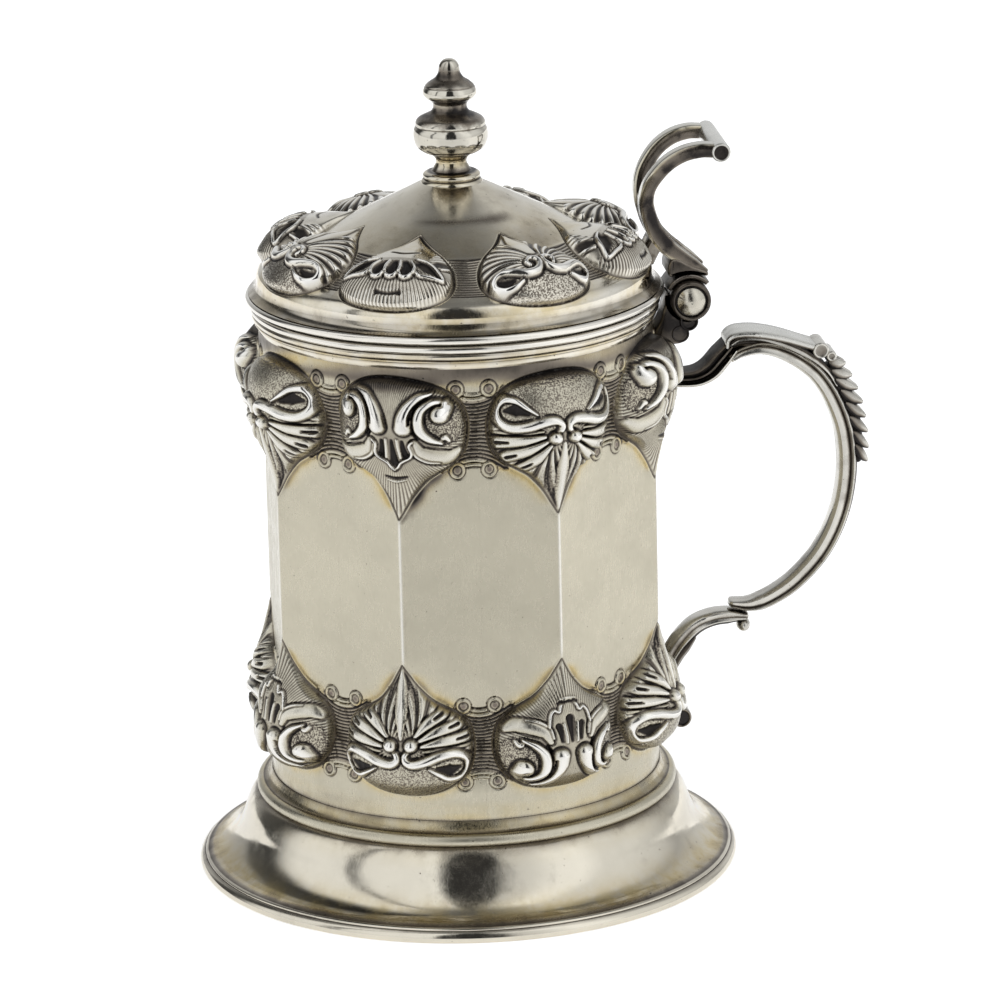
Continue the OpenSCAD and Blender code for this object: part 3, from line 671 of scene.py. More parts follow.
def octagon_radius(angle):
    folded = np.minimum(np.sqrt(angle ** 2 + CORNER_SOFT ** 2), CORNER_TURN)
    return FLAT_R / np.cos(CORNER_TURN - folded)


def drift(a, b, seed):
    """Slow, even noise from a few waves, mostly between -1 and 1."""
    waves = np.random.default_rng(seed)
    total = sum(np.sin(waves.uniform(-1, 1) * a + waves.uniform(-1, 1) * b + waves.uniform(0, 6.3))
                for _ in range(6))
    return total / 3.2


def medallion(tile, outline, crown, across, along):
    """The boss height and masks of one medallion at places across and along it."""
    gap = tile.at(tile.gap, across, along)
    ramp = smoothstep(-0.1, 0.75, gap)
    reach = np.clip(np.abs(across) / np.maximum(half_width(outline, along), 0.6), 0, 1)
    dome = smooth_table(crown, along) * (1 - 0.45 * reach ** 2 - 0.40 * reach ** 6) * ramp
    fit = smoothstep(-1.6, -1.0, gap)
    return {"gap": gap, "dome": dome, "rise": tile.at(tile.rise, across, along) * fit,
            "oxide": tile.at(tile.oxide, across, along) * fit,
            "grain": tile.at(tile.grain, across, along) * ramp,
            "shine": tile.at(tile.shine, across, along) * ramp}


def turned_points(radius, turn, z):
    """Points at a radius, a turn about Z and a height."""
    return np.stack([radius * np.cos(turn), radius * np.sin(turn), z], -1)


def fade_out(gap, reach, soft):
    """1 from an outline to reach mm outside it, then dying away. gap is negative outside."""
    return np.exp(-np.clip(-gap - reach, 0, 30) / soft)


def body_rows():
    """Heights of the body's rows of points, close together on the two bands of medallions."""
    return np.concatenate([np.arange(24.4, 29.6, 0.7), np.arange(30, 64.5, FINE), np.arange(65, 97.5, 1.0),
                           np.arange(98, 134.5, FINE), np.arange(134.8, 141.6, 0.61)])


def plain_body(angle, across, z):
    """The body's radius without ornament: an octagon with sharp corners that runs out to round at each end."""
    flats = smoothstep(31, 44, z) * (1 - smoothstep(118, 131, z))
    base = octagon_radius(angle) * flats + COLLAR_R * (1 - flats)
    base += 0.15 * flats * line_at(across, 0, 0.8)
    return base


def tone_round_medallion(masks, m, across, along, outside, lean, seed):
    """A warm halo round a medallion, painted shade with a golden tint, and a dark painted shadow that leans to one
    side of it.
    """
    halo = fade_out(m["gap"], 1.2, 0.9) * outside
    strength = 0.95 * smoothstep(1, 4, along) * smoothstep(17, 11, along) + 0.45 * smoothstep(26, 31, along)
    masks["gold"] = np.maximum(masks["gold"], 1.3 * halo * strength)
    masks["oxide"] += 0.22 * halo * strength
    painted_shadow = fade_out(m["gap"], 0.7, 1.6) * smoothstep(-0.45, -0.8, m["gap"])
    painted_shadow *= lean * smoothstep(-2.5, 1.0, along) * smoothstep(16, 6, along)
    masks["oxide"] += 0.48 * painted_shadow * (1 + 0.3 * drift(across, along, seed))
    masks["gold"] = np.maximum(masks["gold"], 0.35 * masks["plum"] * (1 - m["oxide"]))


def tone_collar(masks, turn, z):
    """Darker warm clouds on the plain collars, the upper one most, and warm lines where they meet the mouldings.
    """
    wear = line_at(z, 136, 1.2) + 0.8 * line_at(z, 25, 1.6)
    patches = 0.5 + 0.5 * drift(9 * np.cos(turn), 9 * np.sin(turn) + z, 3)
    masks["gold"] = np.maximum(masks["gold"], 0.7 * wear * patches)
    collar = smoothstep(130.5, 133, z) + 0.3 * smoothstep(30, 27, z)
    clouds = drift(7 * np.cos(turn), 7 * np.sin(turn) + 0.8 * z, 6)
    masks["oxide"] += collar * (0.44 + 0.30 * clouds)
    masks["gold"] = np.maximum(masks["gold"], collar * (0.55 - 0.35 * clouds))


def tone_corner(masks, across, z):
    """A painted highlight down the octagon's corner, between two lines of painted shade."""
    masks["shine"] += 0.75 * line_at(across, 0, 0.28) * smoothstep(62, 66, z) * smoothstep(101, 97, z)
    beside = line_at(across, 0.75, 0.35) + 0.5 * line_at(across, -0.75, 0.35)
    masks["oxide"] += 0.16 * beside * smoothstep(62, 66, z) * smoothstep(101, 97, z)


def body_sector(index, designs, link):
    """One eighth of the body, centred on a corner of the octagon."""
    angle = np.linspace(-CORNER_TURN - OVERLAP, CORNER_TURN + OVERLAP, BODY_COLUMNS)
    angle, z = np.meshgrid(angle, body_rows())
    turn = angle + CORNER_TURN * (2 * index + 1)
    across = ARC_R * angle
    side = np.sign(angle)
    shift = LINK_SHIFT[index] * (side > 0) + LINK_SHIFT[index - 1] * (side < 0)
    link_across = across - side * FLAT_AT - shift
    base = plain_body(angle, across, z)
    rounded = 49.3 - 0.0098 * across ** 2
    masks = {key: np.zeros_like(z) for key in MASKS}
    rise = np.zeros_like(z)
    hollow = np.zeros_like(z)
    for band, (tip, way, stretch) in enumerate(((UPPER_TIP, 1, 1), (LOWER_TIP, -1, LOWER_STRETCH))):
        along = (z - tip) * way * stretch
        wobble = 0.35 * drift(across / 5, along / 5, 10 * index + band)
        m = medallion(designs[band], BODY_OUTLINE, BODY_CROWN, across + wobble, along + wobble)
        inside = smoothstep(-0.3, 0.6, m["gap"]) * smoothstep(5, 14, along)
        base += (np.minimum(rounded, base + 3) - base) * inside
        outside = smoothstep(-0.45, -0.8, m["gap"]) * (along > -1)
        near = outside * smoothstep(9.4, 8.6, np.abs(link_across))
        rise += m["rise"] + m["dome"] + link.at(link.rise, link_across, along) * near
        panel = smoothstep(-0.45, -0.8, m["gap"]) * smoothstep(-2.5, 1.5, along) * (along < 24)
        rise -= 0.32 * fade_out(m["gap"], 0.3, 1.5) * panel
        hollow += m["dome"]
        masks["oxide"] += m["oxide"] + link.at(link.oxide, link_across, along) * near
        masks["plum"] = np.maximum(masks["plum"], link.at(link.plum, link_across, along) * near)
        for key in ("grain", "shine"):
            masks[key] = np.maximum(masks[key], m[key])
        # How strong the painted shadow beside each medallion is on each side.
        lean = 0.45 if band else 0.2 + (1.3 if index % 2 else 0.5) * (side > 0)
        tone_round_medallion(masks, m, across, along, outside, lean, 50 + index)
    tone_collar(masks, turn, z)
    tone_corner(masks, across, z)
    masks["oxide"] = np.clip(masks["oxide"] + 0.5 * line_at(z, BODY_LOW, 0.35), 0, 1)
    radius = base + rise
    outer = turned_points(radius, turn, z)
    keep = np.linspace(0, len(z) - 1, BODY_INNER_ROWS).astype(int)
    inner_r = (base - WALL + 0.7 * hollow)[keep]
    inner_r[z[keep] > COLLAR_FROM] = COLLAR_R - WALL
    inner = turned_points(inner_r, turn[keep], z[keep])
    return shell_piece(f"body_sector_{index + 1}", outer, inner, masks, body=TANKARD, slot="chased_silver",
                       material=satin_silver)


LID_SLOPE = math.atan(0.5)
LID_TIP_R = 24.0
LID_SHEET = 1.4
# Where the lid's hatched field begins and ends, measured down the cone from the medallions' tips.
FIELD_FROM, FIELD_TO = 8.4, 21.9
# The lid's brown toning and painted shade are strongest on this side, toward the camera, an angle from +X.
FRONT = -1.5
LID_HATCH_PITCH = 0.86
LID_SHIFT = [0.6, -0.5, 0.8, -0.4, -1.2, -2.2, 0.3, 0.8]
LID_COLUMNS, LID_INNER_ROWS = 190, 50
# The inside stops short of the bead at the lid's edge.
LID_INNER_R, LID_INNER_Z = 46.6, 144.25


def lid_profile():
    """The lid's outside from the finial to its bead: [radius, height], even steps along it."""
    cone = [(2.3, 172.65), (12, 167.8), (24, 161.8), (36, 155.8), (45.2, 151.2)]
    turn = [(45.2, 151.2), (46.5, 150.4), (47.4, 149.3), (47.75, 148), (47.8, 146.6), (48.1, 145.5),
            (48.9, 144.75), (49.7, 144.3)]
    path = np.vstack([smooth_path(cone), smooth_path(turn, 12)[1:]])
    length = np.concatenate([[0], np.cumsum(np.linalg.norm(np.diff(path, axis=0), axis=1))])
    return path, length + 2.3 / math.cos(LID_SLOPE)


def lid_rows(length, tip):
    """Places of the lid's rows of points down its profile, close together from the medallions' tips on."""
    return np.concatenate([np.arange(length[0], tip - 1.2, 1.1), np.arange(tip - 1, length[-1] - 0.1, FINE),
                           length[-1:]])


def lid_outward(path, length, u):
    """The lid's outward direction at places u down its profile, as its radial and upright parts."""
    slope = np.gradient(path, axis=0)
    slope /= np.linalg.norm(slope, axis=1, keepdims=True)
    soft = np.ones(9) / 9
    return [np.interp(u, length, np.convolve(np.pad(part, 4, mode="edge"), soft, "valid"))
            for part in (-slope[:, 1], slope[:, 0])]


def tone_cone(oxide, gold, gap, turn, u, level):
    """Brown toning with painted shade on the plain cone, strongest on the side toward the camera, with a darker
    painted streak round it.
    """
    toning = smoothstep(9, 7, level) * (0.55 + 0.45 * drift(3 * np.cos(turn), 3 * np.sin(turn) + u / 7, 7))
    toning *= 0.35 + 0.65 * smoothstep(0.2, 0.95, np.cos(turn - FRONT))
    oxide += 0.44 * toning * (gap < 0)
    streak = np.exp(-((level + 5.5 + 0.9 * drift(6 * turn, level, 8)) / 1.7) ** 2)
    oxide += 0.42 * streak * smoothstep(0.72, 0.97, np.cos(turn - FRONT)) * (gap < 0)
    return oxide, np.maximum(gold, 0.55 * toning * (0.5 + 0.5 * smoothstep(-9, 0, level)))


def lid_sector(index, tile):
    """One eighth of the lid, centred between two of the octagon's flats."""
    path, length = lid_profile()
    tip = LID_TIP_R / math.cos(LID_SLOPE)
    angle = np.linspace(-CORNER_TURN - OVERLAP, CORNER_TURN + OVERLAP, LID_COLUMNS)
    angle, u = np.meshgrid(angle, lid_rows(length, tip))
    r, z = np.interp(u, length, path[:, 0]), np.interp(u, length, path[:, 1])
    out_r, out_z = lid_outward(path, length, u)
    turn = angle + CORNER_TURN * (2 * index + 1)
    unrolled = angle * math.cos(LID_SLOPE)
    across, along = u * np.sin(unrolled), u * np.cos(unrolled) - tip
    wobble = 0.3 * drift(across / 5, along / 5, 100 + index)
    wobble -= LID_SHIFT[index] * (0.4 + 0.6 * smoothstep(2, 16, along))
    m = medallion(tile, LID_OUTLINE, LID_CROWN, across + wobble,
                  along + 0.3 * drift(along / 4, across / 6, index))
    gap = m["gap"]
    level = u - tip
    field = smoothstep(-0.5, -0.9, gap) * smoothstep(8.2, 8.7, level) * smoothstep(22.2, 21.6, level)
    bowed = level + 0.012 * (np.abs(across) - 16) ** 2
    lines = np.cos(2 * np.pi * bowed / LID_HATCH_PITCH)
    rise = m["dome"] + m["rise"] + field * 0.10 * lines
    oxide = m["oxide"] + field * np.clip(0.44 - 0.5 * lines, 0, 1)
    edge = line_at(level, FIELD_FROM, 0.3) + line_at(level, FIELD_TO, 0.25)
    oxide += 0.6 * edge * smoothstep(-0.5, -0.9, gap)
    # The cove gets warm toning, a band of painted reflection through the highlight mask, and is darker towards the
    # bead.
    cove = smoothstep(24.5, 27, level) * smoothstep(-0.2, -0.8, gap)
    halo = fade_out(gap, 0.3, 1.4) * smoothstep(-0.3, -0.7, gap)
    patches = 0.55 + 0.45 * drift(8 * np.cos(turn), 8 * np.sin(turn) + level / 2, 5)
    gold = np.clip(0.75 * cove * patches + 0.35 * halo, 0, 1)
    oxide, gold = tone_cone(oxide, gold, gap, turn, u, level)
    masks = {"oxide": np.clip(oxide + 0.34 * smoothstep(27.8, 30, level) * cove, 0, 1), "gold": gold,
             "plum": 0.45 * field, "grain": m["grain"], "shine": np.maximum(m["shine"], 0.35 * cove)}
    radius, height = r + rise * out_r, z + rise * out_z
    outer = turned_points(radius, turn, height)
    keep = np.linspace(0, len(u) - 1, LID_INNER_ROWS).astype(int)
    sink = (LID_SHEET - 0.7 * m["dome"])[keep]
    in_r = np.minimum(r[keep] - sink * out_r[keep], LID_INNER_R)
    in_z = np.maximum(z[keep] - sink * out_z[keep], LID_INNER_Z)
    inner = turned_points(in_r, turn[keep], in_z)
    upward = {key: mask[::-1] for key, mask in masks.items()}
    return shell_piece(f"lid_sector_{index + 1}", outer[::-1], inner[::-1], upward, body=LID,
                       slot="chased_silver", material=lid_silver)


def build_shells():
    bow, link = bow_tile(), link_tile()
    upper_scroll, lower_scroll = scroll_tile(POINTED_CROWN), scroll_tile(ARCHED_CROWN)
    moustache, shell = moustache_tile(), shell_tile()
    body, lid = [], []
    for index in range(CORNERS):
        odd = index % 2
        body.append(body_sector(index, (upper_scroll if odd else bow, bow if odd else lower_scroll), link))
        lid.append(lid_sector(index, shell if odd else moustache))
    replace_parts(body[0], "body_shell")
    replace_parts(lid[0], "lid_dome")


# ---- turned pieces --------------------------------------------------------------------------------

def build_foot():
    edge = [[(61.6, 0, 0.5), (65.6, 0, 0.3)],
            [(65.6, 0, 0.1), (66.1, 0.45), (66.25, 1.3), (65.9, 2.2), (65.2, 2.8, 0.4)],
            [(65.2, 2.8, 0.95), (64.9, 2.85, 0.9)], [(64.9, 2.85, 0.2), (64.85, 3.2), (64.4, 3.5, 0.2)],
            [(64.4, 3.5, 0.7), (64.1, 3.5, 0.7)], [(64.1, 3.5, 0.45, 0.4), (62.9, 4.1, 0.3, 0.8)],
            [(62.9, 4.1, 0.5), (61.6, 4.1, 0.5)], [(61.6, 4.1, 0.5), (61.6, 0, 0.5)]]
    lathe("foot_edge", edge, body=TANKARD, slot="polished_silver", material=foot_silver)
    outer = [(62.75, 4.1, 0.3, 0.8), (62.0, 4.35, 0.25, 0.8), (60.6, 5.1, 0.1, 0.7), (58.6, 6.6, 0, 0.35),
             (56.8, 8.6, 0, 0.1), (55.5, 11.0, 0, 0), (54.6, 13.6, 0, 0), (53.6, 16.0, 0.05, 0.1),
             (52.3, 18.0, 0.3, 0.2), (51.1, 18.9, 0.6, 0.5)]
    inner = [(r - 1.4, z) for r, z, *_ in outer[::-1]]
    lathe("foot_bell", [outer, [outer[-1], (51.1 - 1.4, 18.9)], inner, [(61.35, 4.1), outer[0]]],
          body=TANKARD, slot="polished_silver", material=foot_silver)
    step = [[(46.4, 18.9, 0.6), (51.0, 18.9, 0.9)],
            [(51.0, 18.9, 0.6, 0.6), (51.4, 19.3, 0, 0.2), (51.6, 20.0), (51.45, 20.8), (51.0, 21.4, 0, 0.1),
             (50.3, 21.75, 0.1, 0.4), (50.0, 21.8, 0.5, 0.6)],
            [(50.0, 21.8, 0.7, 0.6), (49.4, 21.9, 0.45, 0.7), (48.7, 22.5, 0.32, 0.7),
             (48.25, 23.4, 0.25, 0.5), (47.9, 24.2, 0.4, 0.6), (47.8, 24.38, 0.5, 0.6)],
            [(47.8, 24.38, 0.5), (43.5, 24.38)], [(43.5, 24.38), (43.5, 22.4)], [(43.5, 22.4), (46.4, 22.4)],
            [(46.4, 22.4), (46.4, 18.9)]]
    lathe("foot_step", step, body=TANKARD, slot="polished_silver", material=satin_silver)
    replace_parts(bpy.data.objects["foot_edge"], "foot_edge_wire")
    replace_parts(bpy.data.objects["foot_bell"], "foot_skirt")
    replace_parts(bpy.data.objects["foot_step"], "foot_step_ring")


def build_rim():
    """Under the lid: a bright bead, a smaller toned one, a thin line and a plain neck."""
    runs = [[(47.75, 135.8, 0.25, 0.5), (48.05, 136.6, 0.05, 0.3), (48.15, 137.3, 0.35, 0.5)],
            [(48.15, 137.3, 0.85, 0.4), (48.6, 137.45, 0.35, 0.6), (48.7, 137.85, 0.25, 0.7),
             (48.4, 138.15, 0.5, 0.5)],
            [(48.4, 138.15, 0.9), (48.9, 138.3, 0.4, 0.4), (49.15, 138.95, 0.15, 0.4),
             (48.95, 139.5, 0.35, 0.3), (48.5, 139.7, 0.8)],
            [(48.5, 139.7, 0.95), (49.1, 139.85, 0.3), (49.5, 140.45, 0), (49.45, 141.1, 0.05),
             (49.1, 141.5, 0.4)], [(49.1, 141.5, 0.9), (47.65, 141.5, 0.7)], [(47.65, 141.5), (47.65, 135.8)],
            [(47.65, 135.8), (47.75, 135.8, 0.5)]]
    rim = lathe("rim_reeds", runs, body=TANKARD, slot="polished_silver", material=bright_silver)
    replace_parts(rim, "rim_moulding")


def build_lid_bead():
    runs = [[(45.6, 142.2, 0.5), (49.6, 142.2, 0.4)],
            [(49.6, 142.2, 0.5), (50.2, 142.4, 0.1), (50.5, 142.95, 0), (50.45, 143.5, 0),
             (50.0, 143.95, 0.1), (49.5, 144.05, 0.6)], [(49.5, 144.05, 0.8), (49.3, 144.05, 0.8)],
            [(49.3, 144.05, 0.3, 0.4), (49.0, 144.2, 0.1, 0.5), (48.4, 144.2, 0.2, 0.6)],
            [(48.4, 144.2, 0.2, 0.6), (45.6, 144.2)], [(45.6, 144.2), (45.6, 142.2)]]
    bead = lathe("lid_bead", runs, body=LID, slot="polished_silver", material=bright_silver)
    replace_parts(bead, "lid_rim_wire")


def build_finial():
    base = 168.9
    collar = [[(2.0, base + 0.2, 0.5), (6.2, base - 0.3, 0.8)],
              [(6.2, base - 0.3, 0.9), (6.9, base, 0.3), (7.4, base + 0.6, 0, 0.3),
               (7.45, base + 1.2, 0, 0.2), (7.1, base + 1.75, 0.1, 0.4), (6.7, base + 1.95, 0.9)],
              [(6.7, base + 1.95, 0.9), (6.75, base + 2.15, 0.3, 0.4), (6.95, base + 2.65, 0, 0.3),
               (6.8, base + 3.2, 0, 0.3), (6.2, base + 3.6, 0.2, 0.5), (5.6, base + 3.75, 0.8)],
              [(5.6, base + 3.75, 0.9), (5.3, base + 3.75, 0.9)],
              [(5.3, base + 3.75, 0.3), (4.6, base + 4.0, 0.5)], [(4.6, base + 4.0, 0.5), (2.0, base + 4.0)],
              [(2.0, base + 4.0), (2.0, base + 0.2)]]
    ring = lathe("finial_rings", collar, segments=160, body=LID, slot="polished_silver",
                 material=finial_silver)
    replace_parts(ring, "finial_collar")
    foot = base + 4.0
    turned = [[(0, 164.3), (1.9, 164.3)], [(1.9, 164.3), (1.9, foot)], [(1.9, foot), (4.7, foot, 0.7)],
              [(4.7, foot, 0.7), (4.2, foot + 0.9, 0.2, 0.3), (3.7, 174.8, 0.1, 0.6),
               (3.85, 175.8, 0.15, 0.8), (4.7, 176.7, 0.3, 0.7), (5.1, 176.95, 0.8)],
              [(5.1, 176.95, 0.8), (5.3, 177.0, 0.8)],
              [(5.3, 177.0, 0.7, 0.4), (6.8, 177.6, 0.3, 0.3), (8.1, 178.6), (8.75, 179.9), (9.0, 181.5),
               (8.85, 182.9), (8.5, 183.6, 0.1), (8.35, 183.8, 0.4)],
              [(8.35, 183.8, 0.4), (8.45, 184.2, 0.1), (8.3, 184.9, 0.2), (7.6, 185.7, 0.45),
               (6.2, 186.4, 0.6, 0.2), (4.9, 187.0, 0.7, 0.2), (4.3, 187.6, 0.8)],
              [(4.3, 187.6, 0.8), (4.05, 188.3, 0.6, 0.3), (4.15, 189.2, 0.4, 0.3), (4.7, 189.9, 0.6)],
              [(4.7, 189.9, 0.5), (5.7, 190.5, 0.1), (6.35, 191.3), (6.45, 192.1), (6.15, 193.0),
               (5.9, 193.3, 0.4)],
              [(5.9, 193.3, 0.5), (5.7, 193.7, 0.3), (4.7, 194.5, 0.5), (3.6, 195.2, 0.6),
               (2.95, 196.0, 0.7, 0.2), (2.6, 196.8, 0.5, 0.2), (2.5, 197.6, 0.3), (2.35, 198.4, 0.2),
               (1.8, 199.3, 0.1), (1.0, 199.85, 0.1), (0, 200)]]
    finial = lathe("finial_baluster", turned, segments=160, body=LID, slot="polished_silver",
                   material=finial_silver)
    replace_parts(finial, "finial")


# ---- handle ---------------------------------------------------------------------------------------

CAST = {"body": TANKARD, "slot": "handle_silver", "material": cast_silver}


def build_strut():
    """The upper strut: a dark reeded channel with a bright lower edge, flaring to the thumb rest."""
    half = [(1.0, 0, 0.85), (1.0, 0.55, 0.85), (0.9, 0.9, 0.7), (0.68, 1.0, 0.5), (0.48, 0.86, 0.8),
            (0.34, 0.60, 0.95), (0.18, 0.58, 0.95), (0.06, 0.84, 0.55), (-0.08, 0.88, 0.5), (-0.2, 0.74, 0.8),
            (-0.32, 0.46, 1.0), (-0.46, 0.42, 1.0), (-0.52, 0.54, 0.3), (-0.58, 0.92, 0.0),
            (-0.64, 1.0, -0.1), (-0.80, 0.96, -0.1), (-1.0, 0.78, -0.1), (-1.0, 0, 0.1)]
    route = [(46.9, 118.7), (51, 118.8), (55, 118.6), (58.6, 118.9), (61.6, 120.4), (64.2, 123.2),
             (66.9, 126.3)]
    strut = sweep("upper_strut", route, mirrored(half), (3.4, 3.5, 3.9, 4.4, 4.9, 4.9, 4.0),
                  (7.4, 7.4, 7.6, 8, 8.2), body=TANKARD, slot="oxidised_silver", material=cast_silver)
    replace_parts(strut, "handle_upper_strut")


def build_scroll():
    """The C scroll, moulded with an inner bead, a fine reed and a dark outer channel."""
    half = [(-1.0, 0, 0.15), (-0.99, 0.45, 0.05), (-0.88, 0.78, 0.0), (-0.6, 0.96, 0.0), (-0.2, 0.95, 0.05),
            (0.08, 0.86, 0.3), (0.24, 0.76, 0.7), (0.36, 0.88, 0.2), (0.52, 1.0, 0.0), (0.68, 0.93, 0.1),
            (0.8, 0.68, 0.85), (0.92, 0.5, 0.7), (1.0, 0.3, 0.4), (1.0, 0, 0.4)]
    route = [(66.8, 123.4), (69.6, 124.8), (74, 125.6), (79, 124.4), (84, 121.6), (88.4, 117.6),
             (92.2, 111.2), (94.8, 103), (95.3, 93), (93.4, 82.6), (89, 73.2), (82.4, 65.8), (76, 61.6),
             (71, 60.1), (66.6, 60.6)]
    scroll = sweep("scroll", route, mirrored(half),
                   (2.6, 3.6, 4.2, 4.4, 4.6, 4.8, 4.9, 4.9, 4.8, 4.8, 4.7, 4.6, 4.5, 4.2, 2.0),
                   (7.6, 8, 8, 8, 8, 8, 7.8, 7.4, 7.2, 7, 6.8, 6.6, 6.6, 6.4, 6.0), ends=(0.6, 1.0), **CAST)
    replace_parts(scroll, "handle_scroll")


def build_rest():
    # The plate is painted darker on its underside, as shade.
    plate = [(1.0, 0, 0.05), (0.95, 0.5, 0.03), (1.0, 0.86, 0.0), (0.6, 0.97, 0.0), (0, 1.0, 0.05),
             (-0.6, 0.96, 0.5), (-1.0, 0.86, 0.7), (-1.0, 0, 0.7)]
    route = [(65.7, 126.2), (65.9, 128), (67.2, 129.1), (69.2, 129.5), (72.4, 129.4), (76.4, 128.7),
             (80.4, 127.6), (84.4, 126.2), (87.4, 125.2)]
    rest = sweep("thumb_rest", route, mirrored(plate), (1.0, 1.5, 1.7, 1.7, 1.6, 1.6),
                 (8.8, 10, 10.5, 10.3, 9.8, 9.2), ends=(0.8, 0.4), body=TANKARD, slot="handle_silver",
                 material=pale_silver)
    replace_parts(rest, "handle_thumb_rest")
    moulding = [(1.0, 0, 0.9), (1.0, 0.95, 0.85), (0.72, 0.9, 0.7), (0.5, 0.98, 0.2), (0.2, 1.0, 0.1),
                (0.0, 0.88, 0.4), (-0.2, 0.74, 0.85), (-0.4, 0.74, 0.75), (-0.6, 0.88, 0.3), (-0.8, 0.8, 0.6),
                (-1.0, 0.6, 0.9), (-1.0, 0, 0.9)]
    route = [(66.4, 126.3), (69.6, 127.5), (74, 127.3), (78.4, 125.9), (82.6, 123.9), (86.8, 121.4),
             (90.2, 118.4), (92.4, 115)]
    side = sweep("rest_moulding", route, mirrored(moulding), (1.6, 3.2, 3.6, 3.7, 3.6, 3.2, 2.4, 1.6),
                 (7.4, 7.8, 7.8, 7.6, 7.4, 7.2, 7, 6.6), **CAST)
    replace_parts(side, "handle_web")


def cross_roll(name, at, radius, half, dark=0.8, **where):
    """A roll across the handle with a raised bright rim round each dark end."""
    end = [(0, -half + 0.5, dark), (radius - 0.75, -half + 0.45, dark), (radius - 0.6, -half + 0.1, 0.3)]
    lip = [(radius - 0.6, -half + 0.1, 0.2), (radius - 0.3, -half, 0), (radius - 0.05, -half + 0.35, 0),
           (radius, -half + 0.9)]
    middle = [(radius, -half + 0.9), (radius, half - 0.9)]
    return lathe(name, [end, lip, middle, *flipped([end, lip])], segments=48, across_at=at, **where)


def ball(name, at, radius, half, **where):
    """A round-ended pip across the handle."""
    turn = np.radians(np.linspace(-90, 90, 13))
    runs = [[(radius * math.cos(a) if abs(a) < 1.57 else 0, half * math.sin(a)) for a in turn]]
    return lathe(name, runs, steps=2, segments=40, across_at=at, sharp_angle=80, **where)


def build_rolls():
    roll = cross_roll("thumb_rest_roll_end", (88.5, 124.6), 2.0, 4.9, dark=0.35, **CAST)
    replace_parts(roll, "thumb_rest_roll")
    cross_roll("thumb_rest_bead", (91.2, 122.9), 1.3, 4.3, dark=0.35, **CAST)
    pip = ball("strut_pip", (69.3, 55.0), 1.75, 3.2, **CAST)
    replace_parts(pip, "handle_pip")
    low = cross_roll("strut_terminal", (53.3, 32.6), 2.5, 3.8, body=TANKARD, slot="oxidised_silver",
                     material=dull_silver)
    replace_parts(low, "lower_scroll_roll")


LEAF_LOBES = [((90.6, 121.2), (95.0, 120.3)), ((91.2, 119.0), (96.6, 117.2)), ((92.2, 116.8), (98.0, 113.8)),
              ((93.4, 114.0), (99.2, 110.2)), ((94.6, 110.8), (99.9, 106.6)), ((95.6, 107.2), (100.4, 102.8)),
              ((96.4, 103.4), (100.6, 98.8)), ((96.9, 100.0), (100.3, 95.4))]


def build_leaf():
    """Eight slanting lobes on each side of a spine down the back of the scroll."""
    rings, around = 13, 14
    points, faces, oxide = [], [], []
    for start, tip in LEAF_LOBES:
        for side in (-1, 1):
            a = np.array([start[0], side * 3.3, start[1]])
            b = np.array([tip[0], side * 0.9, tip[1]])
            ahead = (b - a) / np.linalg.norm(b - a)
            out = np.array([0.55, side * 0.8, 0.3])
            out -= ahead * (out @ ahead)
            out /= np.linalg.norm(out)
            wide = np.cross(ahead, out)
            wide *= np.sign(wide[2])
            first = len(points)
            for i in range(rings):
                t = i / (rings - 1)
                swell = 0.12 + 0.88 * math.sin(math.pi * (0.05 + 0.88 * t ** 0.8)) ** 0.9
                centre = a + (b - a) * t - np.array([0, 0, 0.9]) * math.sin(math.pi * t) * 0.35
                for j in range(around):
                    turn = 2 * math.pi * j / around
                    place = centre + swell * (1.4 * math.cos(turn) * wide + 0.95 * math.sin(turn) * out)
                    place[0] = min(place[0], 100.85)
                    points.append(place)
                    # Each lobe is darker on its lower, inner side and toward its root: painted shade, with oxide
                    # where it meets the scroll.
                    oxide.append(0.95 * max(0, 0.25 - math.cos(turn - 0.4)) ** 1.5 + 0.5 * (1 - t) ** 2)
            flip = np.dot(np.cross(wide, out), ahead) < 0
            faces += grid_faces(rings, around, first, flip=flip, wrap=True)
            caps = [list(range(first, first + around)),
                    list(range(first + (rings - 1) * around, first + rings * around))[::-1]]
            faces += caps if flip else [cap[::-1] for cap in caps]
    leaf = make_piece("leaf_lobes", points, faces, masks={"oxide": oxide}, sharp_angle=60, **CAST)
    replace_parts(leaf, "handle_leaf")
    spine = [(1.0, 0, 0.4), (0.8, 0.6, 0.7), (0.2, 0.95, 0.95), (-0.6, 1.0, 0.95), (-1.0, 0.9, 0.9),
             (-1.0, 0, 0.9)]
    sweep("leaf_spine",
          [(91.2, 119.6), (93.9, 115.6), (96.2, 110.4), (97.7, 104.4), (98.2, 98.4), (98.1, 95.6)],
          mirrored(spine), (3.4, 3.4, 3.0, 2.6, 1.6), (6.4, 6.2, 5.8, 5.2, 4.2), ends=(0.6, 0.8), **CAST)


